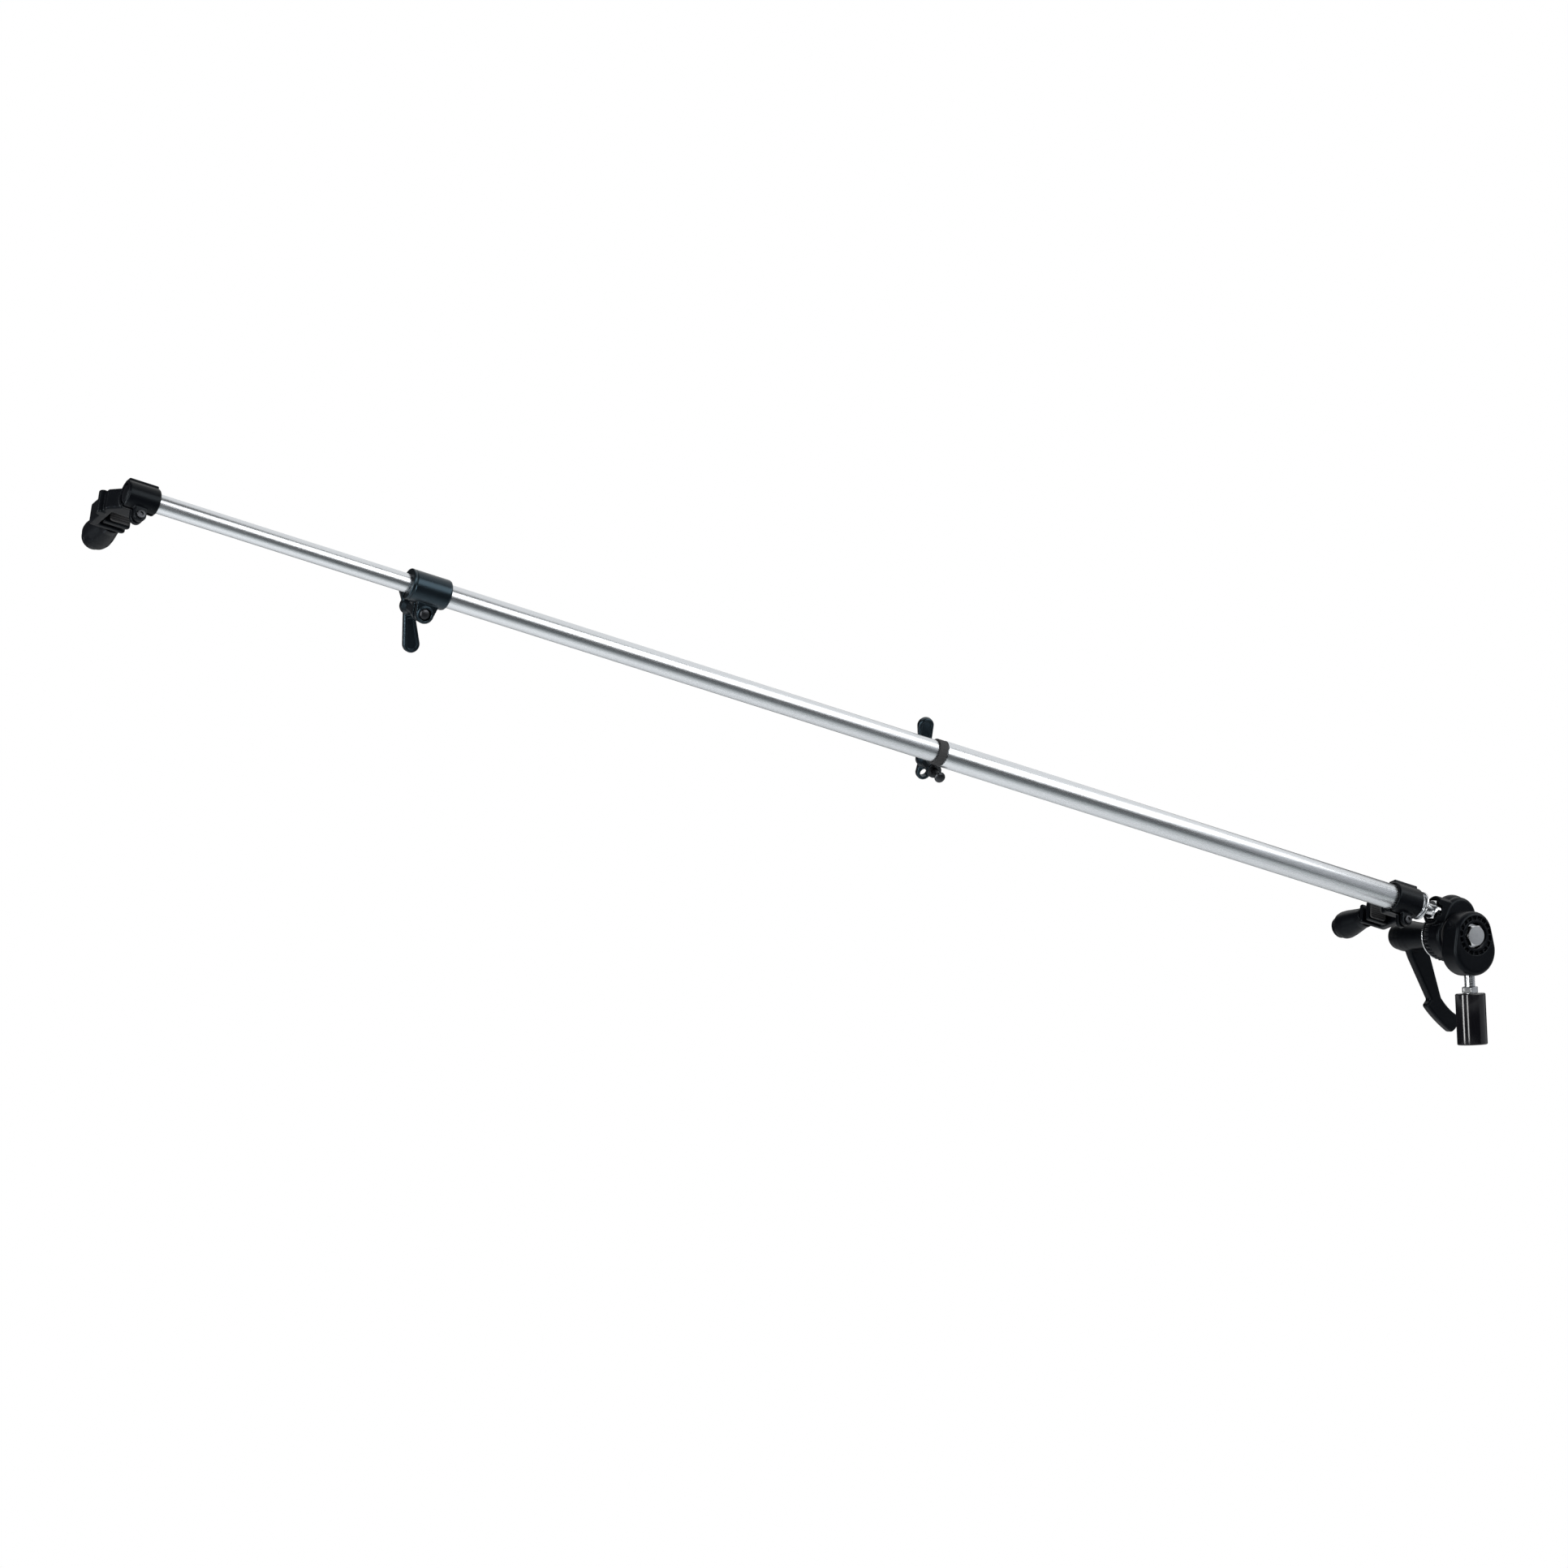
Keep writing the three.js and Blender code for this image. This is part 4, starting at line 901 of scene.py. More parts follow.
@dataclass
class ClampLever:
    """Lift-and-turn lever behind the head, over its splined insert."""

    neck_radius: float = 5.6
    washer_radius: float = 20.8
    washer_near: float = 37.9
    washer_thickness: float = 1.6
    neck_start: float = 39.8
    spline_start: float = 68.0
    spline_end: float = 77.0
    spline_radius: float = 7.2
    spline_depth: float = 0.9
    splines: int = 12
    spline_fit: float = 0.3
    hole_short: float = 2.0
    bolt_hole: float = 4.3
    mouth_radius: float = 10.5
    hub_start: float = 51.0
    waist_radius: float = 13.0
    waist: float = 75.0
    swell_radius: float = 13.6
    swell: float = 78.5
    crest_radius: float = 14.0
    crest: float = 84.0
    slope_radius: float = 13.6
    slope: float = 90.5
    shoulder_radius: float = 12.2
    shoulder: float = 97.0
    hub_end: float = 105.0
    well_end: float = 95.0
    lift: float = 5.0
    plane: float = 80.0
    thickness: float = 9.0
    edge_round: float = 2.6
    lean: float = 20.0
    root_half: float = 10.0
    root_reach: float = 17.0
    neck_half: float = 5.8
    neck_reach: float = 59.0
    step: float = 11.7
    step_reach: float = 62.0
    foot_reach: float = 95.0
    foot_swing: float = 14.0
    heel_reach: float = 77.0
    heel_swing: float = 4.0
    toe_reach: float = 84.0
    toe_swing: float = 17.0
    skin: float = 0.42

    def build(self) -> None:
        """Makes and dresses every piece."""
        clamp = Maker("clamp_insert", HEAD_PLACE)
        clamp.piece("clamp_thrust_washer", self.washer(), Slot.CHROME, "lever_washer")
        clamp.piece("clamp_spline_insert", self.insert(), Slot.ZINC, "lever_insert")
        Maker("clamp_lever", HEAD_PLACE).piece("clamp_handle", self.handle(), Slot.MOULDING, "ratchet_lever")
        dress("lever_cap_screw", Slot.ZINC)
        dress("lever_spring", Slot.ZINC)

    def washer(self) -> Mesh:
        """The broad bright washer that bears on the knuckle."""
        far = self.washer_near + self.washer_thickness
        return softened(sleeve(self.washer_radius, self.bolt_hole, self.washer_near, far, Axis.Y, 128), 0.35)

    def insert(self) -> Mesh:
        """The steel insert with its spline."""
        neck = softened(rod(self.neck_radius, self.neck_start, self.spline_end, Axis.Y), 0.3)
        outline = toothed(self.spline_radius, self.spline_depth, self.splines)
        spline = slab(outline, self.spline_start, self.spline_end, Axis.Y)
        hole = rod(self.bolt_hole, self.neck_start - PAST, self.spline_start - self.hole_short, Axis.Y)
        return Workpiece(neck).join(spline).cut(hole).mesh()

    def handle(self) -> Mesh:
        """The moulded lever: a barrel hub with a domed end and a stepped, curled handle."""
        hub = turned([
            (0.0, self.hub_start),
            (self.mouth_radius, self.hub_start),
            (self.waist_radius, self.waist),
            (self.swell_radius, self.swell),
            (self.crest_radius, self.crest),
            (self.slope_radius, self.slope),
            (self.shoulder_radius, self.shoulder),
            *dome(self.shoulder_radius, self.shoulder, self.hub_end - self.shoulder, 15),
            (0.0, self.hub_end),
        ], Axis.Y)
        near_side, far_side = self.plane - self.thickness / 2, self.plane + self.thickness / 2
        grip = softened(slab(self.outline(), near_side, far_side, Axis.Y), self.edge_round, 5, 50.0)
        piece = Workpiece(hub).join(rotated(grip, -self.lean, "Y"))
        bore = self.spline_radius + self.spline_fit
        near = self.spline_end - self.lift
        teeth = slab(
            toothed(bore, self.spline_depth, self.splines), near - 1.0, self.spline_end + 1.0, Axis.Y,
        )
        piece.cut(rod(bore, self.hub_start - PAST, near, Axis.Y), teeth)
        return piece.cut(rod(bore, self.spline_end, self.well_end, Axis.Y)).mould(self.skin, 4).mesh()

    def outline(self) -> Profile:
        """Side view of the handle, hanging from the pivot with its foot towards +X."""
        heel = (-self.step, -self.step_reach)
        foot = (self.heel_swing, -self.foot_reach)
        toe = (self.toe_swing, -self.toe_reach)
        neck = (self.neck_half, -self.step_reach)
        points: Profile = [
            (-self.root_half, 0.0), (-self.root_half, -self.root_reach),
            (-self.neck_half, -self.neck_reach), heel,
        ]
        points += swept(heel, (-self.step + self.heel_swing, -self.heel_reach), foot)
        points += swept(foot, (self.foot_swing, -self.foot_reach), toe)
        points += swept(toe, (self.heel_swing + self.neck_half, -self.heel_reach), neck)
        return points + [(self.root_half, -self.root_reach), (self.root_half, 0.0)]


@dataclass
class ArmKnuckle:
    """Far half of the head, with the stud, nut and flange that hold the tube."""

    top_radius: float = 17.5
    disc_radius: float = 22.3
    near: float = 13.6
    depth: float = 24.0
    edge_round: float = 4.0
    dome_radius: float = 19.4
    dome_half: float = 11.8
    dome_station: float = 1.5
    offset: float = 17.0
    plane: float = 23.0
    neck_radius: float = 13.0
    neck_end: float = 21.6
    shroud_end: float = 25.6
    shroud_bore: float = 9.7
    teeth: int = 36
    tooth_depth: float = 1.0
    band_width: float = 5.0
    band_inset: float = 3.4
    bolt_hole: float = 4.3
    stud_radius: float = 4.75
    stud_sunk: float = 11.0
    stud_end: float = 68.3
    thread_depth: float = 0.5
    thread_pitch: float = 1.25
    nut_flats: float = 16.0
    nut_height: float = 5.5
    flange_radius: float = 12.6
    flange_start: float = 39.0
    flange_thickness: float = 1.8
    skin: float = 0.42
    gap: float = 0.3

    def build(self) -> None:
        """Makes and dresses every piece."""
        head = Maker("outer_section", ARM_PLACE)
        head.piece("tilt_knuckle_moulding", self.knuckle(), Slot.MOULDING, "tilt_knuckle")
        tube = Maker("outer_section", TUBE_PLACE)
        foot = self.neck_end - self.stud_sunk
        stud = threaded(self.stud_radius, self.thread_depth, self.thread_pitch, foot, self.stud_end, Axis.X)
        tube.piece("arm_stud_thread", stud, Slot.CHROME, "arm_stud")
        start = self.neck_end + self.gap
        hole = self.stud_radius + self.gap
        nut = hex_nut(self.nut_flats, start, start + self.nut_height, Axis.X, hole)
        tube.piece("arm_lock_nut", nut, Slot.CHROME, "arm_stud_nut")
        flange_end = self.flange_start + self.flange_thickness
        flange = sleeve(self.flange_radius, hole, self.flange_start, flange_end, Axis.X)
        tube.piece("arm_flange", softened(flange, 0.45), Slot.CHROME, "stud_flange")
        dress("outer_tube_plug", Slot.ALUMINIUM)

    def knuckle(self) -> Mesh:
        """A capsule with a toothed band, under a dome whose neck takes the stud and shrouds its nut."""
        far = self.near + self.depth
        middle = -self.near - self.depth / 2
        outline = capsule(self.top_radius, self.offset, self.disc_radius - self.tooth_depth, 0.0)
        body = softened(slab(outline, -far, -self.near, Axis.Y), self.edge_round, 6, 60.0)
        band = -far + self.band_inset
        teeth = slab(
            toothed(self.disc_radius, self.tooth_depth, self.teeth), band, band + self.band_width, Axis.Y,
        )
        ball = bmesh.new()
        bmesh.ops.create_uvsphere(ball, u_segments=64, v_segments=32, radius=1.0)
        ball.transform(
            Matrix.Translation((self.dome_station, middle, self.offset))
            @ Matrix.Diagonal((self.dome_radius, self.dome_half, self.dome_radius, 1.0))
        )
        at = (0.0, -self.plane, self.offset)
        bar = moved(softened(rod(self.neck_radius, 0.0, self.shroud_end, Axis.X, 128), 1.2, 4, 50.0), at)
        size = (3 * self.shroud_end, self.depth - 1.0, 4 * self.neck_radius)
        neck = Workpiece(bar).keep(block(size, (0.0, middle, self.offset))).mesh()
        foot = self.neck_end - self.stud_sunk
        stud_hole = moved(rod(self.stud_radius + self.gap, foot, self.neck_end + PAST, Axis.X), at)
        nut_well = moved(rod(self.shroud_bore, self.neck_end, self.shroud_end + PAST, Axis.X), at)
        bolt_hole = rod(self.bolt_hole, -far - PAST, -self.near + PAST, Axis.Y)
        piece = Workpiece(body).join(teeth, ball, neck).cut(stud_hole, nut_well, bolt_hole)
        return piece.mould(self.skin).mesh()


@dataclass
class Telescope:
    """The three tubes with their glides and cap."""

    outer_radius: float = 11.0
    wall: float = 1.5
    slide_gap: float = 0.25
    outer_start: float = 41.3
    outer_end: float = 542.7
    middle_end: float = 1023.7
    middle_length: float = 560.0
    inner_end: float = 1274.0
    inner_length: float = 520.0
    gap: float = 0.3
    cap_thickness: float = 2.2
    cap_insert: float = 9.0
    glide_shoulder: float = 2.0
    glide_insert: float = 11.0
    glide_wall: float = 1.6

    def build(self) -> None:
        """Makes every piece."""
        middle = self.outer_radius - self.wall - self.slide_gap
        inner = middle - self.wall - self.slide_gap
        middle_start = self.middle_end - self.middle_length
        inner_start = self.inner_end - self.inner_length
        spans = {
            "outer": (self.outer_radius, self.outer_start, self.outer_end),
            "middle": (middle, middle_start, self.middle_end),
            "inner": (inner, inner_start, self.inner_end),
        }
        for name, span in spans.items():
            section = Maker(f"{name}_section", TUBE_PLACE)
            section.piece(f"tube_{name}", self.tube(*span), Slot.ALUMINIUM, f"{name}_tube")
        middle_body = Maker("middle_section", TUBE_PLACE)
        inner_body = Maker("inner_section", TUBE_PLACE)
        middle_body.piece(
            "glide_middle", self.glide(middle, middle_start), Slot.MOULDING, "middle_tube_glide",
        )
        inner_body.piece(
            "glide_inner", self.glide(inner, inner_start), Slot.MOULDING, "inner_tube_glide",
        )
        inner_body.piece("tube_end_cap", self.cap(inner), Slot.MOULDING, "inner_tube_cap")

    def tube(self, radius: float, low: float, high: float) -> Mesh:
        """One tube with broken end edges."""
        return softened(sleeve(radius, radius - self.wall, low, high, Axis.X, 128), 0.3, 2, 60.0)

    def glide(self, radius: float, start: float) -> Mesh:
        """The pierced plug in a tube's inner end."""
        fits = radius - self.wall - self.gap
        bore = fits - self.glide_wall
        shoulder = start - self.gap
        return softened(turned([
            (bore, shoulder - self.glide_shoulder), (radius, shoulder - self.glide_shoulder),
            (radius, shoulder), (fits, shoulder),
            (fits, start + self.glide_insert), (bore, start + self.glide_insert),
            (bore, shoulder - self.glide_shoulder),
        ], Axis.X), 0.2, 2, 60.0)

    def cap(self, radius: float) -> Mesh:
        """The cap in the thin tube's free end."""
        fits = radius - self.wall - self.gap
        face = self.inner_end + self.gap
        foot = self.inner_end - self.cap_insert
        return turned([
            (0.0, foot), (fits, foot), (fits, face), *dome(radius, face, self.cap_thickness),
            (0.0, face + self.cap_thickness),
        ], Axis.X)


@dataclass
class ClampCollar:
    """One split clamp collar with its bolt, washer and wing knob."""

    prefix: str
    body: str
    knob_body: str
    length: float
    wide_radius: float
    narrow_radius: float
    wing_angle: float
    wall: float = 2.7
    seat: float = 20.0
    bush_wall: float = 1.2
    lip: float = 2.0
    rim: float = 1.6
    slit: float = 2.6
    slit_start: float = 5.0
    ear_half: float = 6.5
    ear_radius: float = 7.4
    ear_drop: float = 18.6
    ear_station: float = 14.5
    ear_root: float = 10.5
    head_well: float = 2.2
    bolt_radius: float = 2.6
    bolt_reach: float = 20.0
    head_radius: float = 4.6
    head_height: float = 2.6
    head_edge: float = 0.6
    seat_wall: float = 1.6
    seat_sunk: float = 1.0
    seat_proud: float = 0.7
    washer_radius: float = 6.0
    washer_thickness: float = 1.0
    knob_foot_radius: float = 6.4
    knob_waist_radius: float = 5.0
    knob_head_radius: float = 7.0
    knob_length: float = 27.0
    wing_thickness: float = 6.0
    wing_reach: float = 37.5
    wing_tip: float = 6.8
    wing_root: float = 4.0
    dish_depth: float = 1.1
    dish_margin: float = 2.4
    loop_reach: float = 18.5
    loop_tip: float = 6.4
    loop_hole: float = 3.6
    knob_edge: float = 1.4
    wing_edge: float = 1.6
    skin: float = 0.38
    knob_skin: float = 0.34
    gap: float = 0.3

    def build(self) -> None:
        """Makes and dresses every piece."""
        turn = joint(f"{self.prefix}_wing_turn")
        across = Vector(turn["axis"]).normalized()
        up = ALONG.cross(across)
        origin = Vector(turn["pos_m"]) - ALONG * self.ear_station * MM + up * self.ear_drop * MM
        place = place_of(origin, ALONG, across)
        collar = Maker(self.body, place)
        shell = self.shell()
        collar.piece(
            f"{self.prefix}_collar_moulding", shell, Slot.MOULDING, f"{self.prefix}_collar", finish=POLISHED,
        )
        collar.piece(f"{self.prefix}_clamp_bolt", self.bolt(), Slot.ZINC, f"{self.prefix}_collar_bolt")
        collar.piece(f"{self.prefix}_clamp_washer", self.washer(), Slot.ZINC, f"{self.prefix}_collar_washer")
        dress(f"{self.prefix}_collar_bush", Slot.RUBBER)
        knob = Maker(self.knob_body, place)
        wings = self.wing_knob()
        knob.piece(
            f"{self.prefix}_wing_moulding", wings, Slot.MOULDING, f"{self.prefix}_wing_knob", finish=POLISHED,
        )

    def on_bolt(self, bm: Mesh) -> Mesh:
        """Moves a mesh made round the origin to the bolt."""
        return moved(bm, (self.ear_station, 0.0, -self.ear_drop))

    def shell(self) -> Mesh:
        """The split sleeve with its two ears."""
        bore = self.wide_radius + self.gap
        inner = self.narrow_radius + self.gap
        bush = inner + self.bush_wall + self.gap
        outer = bore + self.wall
        # From the rounded rim to a shallow groove and the raised band at the mouth.
        body = turned([
            (0.0, 0.0), (outer - self.rim, 0.0),
            (outer - self.rim * 0.3, self.rim * 0.35), (outer, self.rim * 1.2),
            (outer, self.length - 3.4), (outer - 0.5, self.length - 3.1), (outer - 0.5, self.length - 2.5),
            (outer + 0.1, self.length - 2.2), (outer + 0.1, self.length - 0.4), (outer - 0.3, self.length),
            (0.0, self.length),
        ], Axis.X)
        ears = [(self.ear_station - self.ear_root, 0.0)]
        ears += arc((self.ear_station, -self.ear_drop), self.ear_radius, 180, 360, 24)
        ears += [(self.ear_station + self.ear_root, 0.0)]
        lug = slab(ears, -self.ear_half, self.ear_half, Axis.Y)
        well_radius, past = self.head_radius + self.gap, self.ear_half + PAST
        low, high = self.ear_half - self.seat_sunk, self.ear_half + self.seat_proud
        seat = self.on_bolt(sleeve(self.head_radius + self.seat_wall, well_radius, low, high, Axis.Y))
        hollow = turned([
            (0.0, -PAST), (bore, -PAST), (bore, self.seat), (bush, self.seat), (bush, self.length - self.lip),
            (inner, self.length - self.lip), (inner, self.length + PAST), (0.0, self.length + PAST),
        ], Axis.X)
        depth = self.ear_drop + self.ear_radius + PAST
        reach = self.length + PAST - self.slit_start
        slit = block((reach, self.slit, depth), (self.slit_start + reach / 2, 0.0, -depth / 2))
        hole = self.on_bolt(rod(self.bolt_radius + self.gap, -past, past, Axis.Y))
        well = self.on_bolt(rod(well_radius, self.ear_half - self.head_well, past, Axis.Y))
        piece = Workpiece(body).join(lug, seat).cut(hollow, slit, hole, well)
        return piece.mould(self.skin).mesh()

    def bolt(self) -> Mesh:
        """The carriage bolt with its domed head."""
        back = self.ear_half - self.head_well + self.gap
        foot = -self.ear_half - 2 * self.gap - self.washer_thickness
        crown = dome(self.head_radius, back + self.head_edge, self.head_height - self.head_edge)
        head = turned([(0.0, back), (self.head_radius, back), *crown, (0.0, back + self.head_height)], Axis.Y)
        shank = rod(self.bolt_radius, foot - self.bolt_reach, back + 0.4, Axis.Y)
        return self.on_bolt(Workpiece(head).join(shank).mesh())

    def washer(self) -> Mesh:
        """The washer under the knob."""
        high = -self.ear_half - self.gap
        ring = sleeve(
            self.washer_radius, self.bolt_radius + self.gap, high - self.washer_thickness, high, Axis.Y,
        )
        return self.on_bolt(softened(ring, 0.15))

    def wing_knob(self) -> Mesh:
        """The wing knob: a waisted hub, a dished paddle and a pierced loop."""
        foot = -self.ear_half - 3 * self.gap - self.washer_thickness
        back = foot - self.knob_length
        front = back + self.wing_thickness
        hub = turned([
            (0.0, back), (self.knob_head_radius - self.knob_edge, back),
            (self.knob_head_radius, back + self.knob_edge),
            (self.knob_head_radius, front), (self.knob_waist_radius, back + 2 * self.wing_thickness),
            (self.knob_waist_radius, foot - self.wing_thickness),
            (self.knob_foot_radius, foot - self.knob_edge),
            (self.knob_foot_radius, foot), (0.0, foot),
        ], Axis.Y)
        tip = self.wing_reach - self.wing_tip
        paddle = [(self.wing_root, 0.0), (-self.wing_root, 0.0)]
        paddle += arc((0.0, -tip), self.wing_tip, 180, 360, 20)
        loop_at = self.loop_reach - self.loop_tip
        loop = [(-self.wing_root, 0.0), (self.wing_root, 0.0)]
        loop += arc((0.0, loop_at), self.loop_tip, 0, 180, 20)
        dish_tip = self.wing_tip - self.dish_margin
        dish_root = self.knob_head_radius + self.dish_margin
        dish_half = self.wing_root - self.knob_edge
        dish = [(dish_half, -dish_root), (-dish_half, -dish_root)]
        dish += arc((0.0, -tip), dish_tip, 180, 360, 16)
        wings = [
            softened(slab(shape, back, front, Axis.Y), self.wing_edge, 4, 60.0) for shape in (paddle, loop)
        ]
        piece = Workpiece(hub).join(*wings)
        piece.cut(
            moved(rod(self.loop_hole, back - PAST, front + PAST, Axis.Y, 40), (0.0, 0.0, loop_at)),
            rod(self.bolt_radius + self.gap, foot - self.bolt_reach, foot + PAST, Axis.Y),
            slab(dish, front - self.dish_depth, front + PAST, Axis.Y),
            slab(dish, back - PAST, back + self.dish_depth, Axis.Y),
        )
        knob = piece.mould(self.knob_skin, 4).mesh()
        return self.on_bolt(rotated(knob, self.wing_angle, "Y"))


@dataclass
class RimGripper:
    """One rim gripper: split sleeve with a C frame, a jaw on a rod and the knob that draws it."""

    prefix: str
    tube_radius: float
    length: float
    side: int
    mouth_trim: float = 0.0
    skin_trim: float = 0.0
    sleeve_wall: float = 2.9
    rim: float = 1.0
    ledge_half: float = 4.4
    ledge_height: float = 1.3
    lug_half: float = 5.0
    lug_drop: float = 9.8
    lug_thickness: float = 5.4
    slit: float = 2.4
    screw_radius: float = 1.8
    screw_head: float = 3.4
    screw_height: float = 2.0
    screw_drive: float = 3.0
    drive_depth: float = 1.2
    jaw_half: float = 9.4
    jaw_height: float = 8.4
    frame_root: float = 6.0
    fixed_face: float = 21.0
    frame_edge: float = 1.6
    pad_thickness: float = 2.0
    pad_margin: float = 1.4
    pad_round: float = 2.0
    groove_width: float = 0.9
    groove_height: float = 0.7
    groove_pitch: float = 1.8
    grooves: int = 7
    slot_gap: float = 12.0
    beam_inner: float = 12.4
    beam: float = 7.0
    corner: float = 3.0
    boss_radius: float = 3.75
    boss_depth: float = 26.5
    boss_proud: float = 0.9
    jaw_thickness: float = 5.4
    jaw_edge: float = 1.4
    end_near: float = 47.0
    end_thickness: float = 5.0
    end_boss_radius: float = 6.6
    end_boss_height: float = 3.4
    rod_radius: float = 3.0
    rod_sink: float = 3.4
    rod_end: float = 76.0
    thread_depth: float = 0.4
    thread_pitch: float = 1.0
    knob_foot_radius: float = 9.2
    knob_belly_radius: float = 12.3
    waist_share: float = 0.16
    belly_share: float = 0.72
    knob_edge: float = 1.6
    knob_end_radius: float = 9.6
    knob_end: float = 91.0
    knob_bore_end: float = 84.0
    ring_width: float = 4.0
    ring_step: float = 0.8
    frame_skin: float = 0.46
    skin: float = 0.40
    gap: float = 0.3

    def build(self) -> None:
        """Makes every piece."""
        away = Vector(joint(f"{self.prefix}_knob_turn")["axis"]).normalized()
        origin = Vector(joint(f"{self.prefix}_swivel")["pos_m"])
        place = place_of(origin, ALONG, -away)
        body = Maker(f"{self.prefix}_gripper", place)
        jaw = Maker(f"{self.prefix}_gripper_jaw", place)
        knob = Maker(f"{self.prefix}_gripper_knob", place)
        near = self.fixed_face + self.gap
        far = near + self.pad_thickness + self.slot_gap
        body.piece(f"{self.prefix}_gripper_frame", self.frame(), Slot.MOULDING, f"{self.prefix}_grip_body")
        body.piece(f"{self.prefix}_sleeve_screw", self.sleeve_screw(), Slot.ZINC, f"{self.prefix}_grip_screw")
        body.piece(f"{self.prefix}_pad_fixed", self.pad(near, 1), Slot.RUBBER, f"{self.prefix}_fixed_pad")
        jaw.piece(f"{self.prefix}_pad_moving", self.pad(far, -1), Slot.RUBBER, f"{self.prefix}_jaw_pad")
        jaw.piece(f"{self.prefix}_jaw_moulding", self.jaw(far), Slot.MOULDING, f"{self.prefix}_jaw")
        jaw.piece(f"{self.prefix}_jaw_screw", self.rod(far), Slot.ZINC, f"{self.prefix}_jaw_rod")
        knob.piece(f"{self.prefix}_knob_moulding", self.knob(), Slot.MOULDING, f"{self.prefix}_grip_knob")

    def plan(self, outline: Profile, half: float, edge: float) -> Mesh:
        """A plate across Z whose outline's second coordinate runs along -Y, mirrored for the other side."""
        points = [(self.side * a, -b) for a, b in outline]
        return softened(slab(points, -half, half), edge, 4, 60.0)

    @property
    def sleeve_radius(self) -> float:
        """Outside radius of the sleeve."""
        return self.tube_radius + self.gap + self.sleeve_wall

    @property
    def end_far(self) -> float:
        """Distance of the frame's far side from the tube's axis."""
        return self.end_near + self.end_thickness

    @property
    def lug_end(self) -> float:
        """How far the lug hangs below the tube's axis."""
        return self.sleeve_radius + self.lug_drop

    def frame(self) -> Mesh:
        """The split sleeve with its ledge, the C frame, bosses and lug."""
        piece = Workpiece(self.barrel()).join(self.ledge(), self.c_plate(), *self.bosses(), self.lug())
        half = self.length / 2 + PAST
        depth, past = self.lug_end + PAST, self.lug_thickness + PAST
        screw = rod(self.screw_radius + self.gap, -past, past, Axis.Y, 40)
        piece.cut(
            rod(self.tube_radius + self.gap, -half, half, Axis.X),
            block((self.length + 2 * PAST, self.slit, depth), (0.0, 0.0, -depth / 2)),
            moved(screw, (0.0, 0.0, -self.lug_end + self.lug_half)),
            rod(
                self.rod_radius + self.gap,
                -self.end_far - self.end_boss_height - PAST, -self.end_near + PAST, Axis.Y,
            ),
        )
        return piece.mould(self.frame_skin).mesh()

    def barrel(self) -> Mesh:
        """The sleeve, still solid and whole."""
        half = self.length / 2
        foot = self.mouth_trim - half
        skin = self.sleeve_radius - self.skin_trim
        return turned([
            (0.0, foot), (skin - self.rim, foot), (skin, foot + self.rim), (skin, half - self.rim),
            (skin - self.rim, half), (0.0, half),
        ], Axis.X)

    def ledge(self) -> Mesh:
        """The flat ledge on top of the sleeve."""
        top = self.sleeve_radius + self.ledge_height
        length = self.length - 2 * self.rim - self.mouth_trim
        return softened(block((length, 2 * self.ledge_half, top), (self.mouth_trim / 2, 0.0, top / 2)), 0.6)

    def c_plate(self) -> Mesh:
        """The C-shaped frame that holds the pads."""
        outer, far = self.beam_inner + self.beam, self.end_far
        inside, corner = self.jaw_half, self.corner
        return self.plan([
            (-inside, self.frame_root), (inside, self.frame_root), (outer, self.fixed_face - self.beam / 2),
            *arc((outer - corner, far - corner), corner, 0, 90, 8),
            *arc((-inside + corner, far - corner), corner, 90, 180, 8),
            (-inside, self.end_near), (self.beam_inner, self.end_near), (self.beam_inner, self.fixed_face),
            (-inside, self.fixed_face),
        ], self.jaw_height, self.frame_edge)

    def bosses(self) -> tuple[Mesh, Mesh]:
        """The boss at the frame's end, under the knob, and the round one on the beam's side."""
        end = rod(self.end_boss_radius, -self.end_far - self.end_boss_height, -self.end_far + 0.6, Axis.Y)
        half = self.jaw_height + self.boss_proud
        side = softened(rod(self.boss_radius, -half, half, Axis.Z, 48), 0.8)
        return end, moved(side, (self.side * (self.beam_inner + self.beam), -self.boss_depth, 0.0))

    def lug(self) -> Mesh:
        """The lug below the sleeve that its screw draws together."""
        shape = [(-self.lug_half, 0.0)]
        shape += arc((0.0, -self.lug_end + self.lug_half), self.lug_half, 180, 360, 16)
        shape += [(self.lug_half, 0.0)]
        return slab(shape, -self.lug_thickness, self.lug_thickness, Axis.Y)

    def sleeve_screw(self) -> Mesh:
        """The cap screw through the sleeve's lug."""
        drop = self.lug_end - self.lug_half
        seat = self.lug_thickness + self.gap
        head = softened(rod(self.screw_head, seat, seat + self.screw_height, Axis.Y, 64), 0.4)
        shank = rod(self.screw_radius, -self.lug_thickness, seat + 0.5, Axis.Y, 48)
        top = seat + self.screw_height
        drive = slab(hexagon(self.screw_drive), top - self.drive_depth, top + PAST / 2, Axis.Y)
        return moved(Workpiece(head).join(shank).cut(drive).mesh(), (0.0, 0.0, -drop))

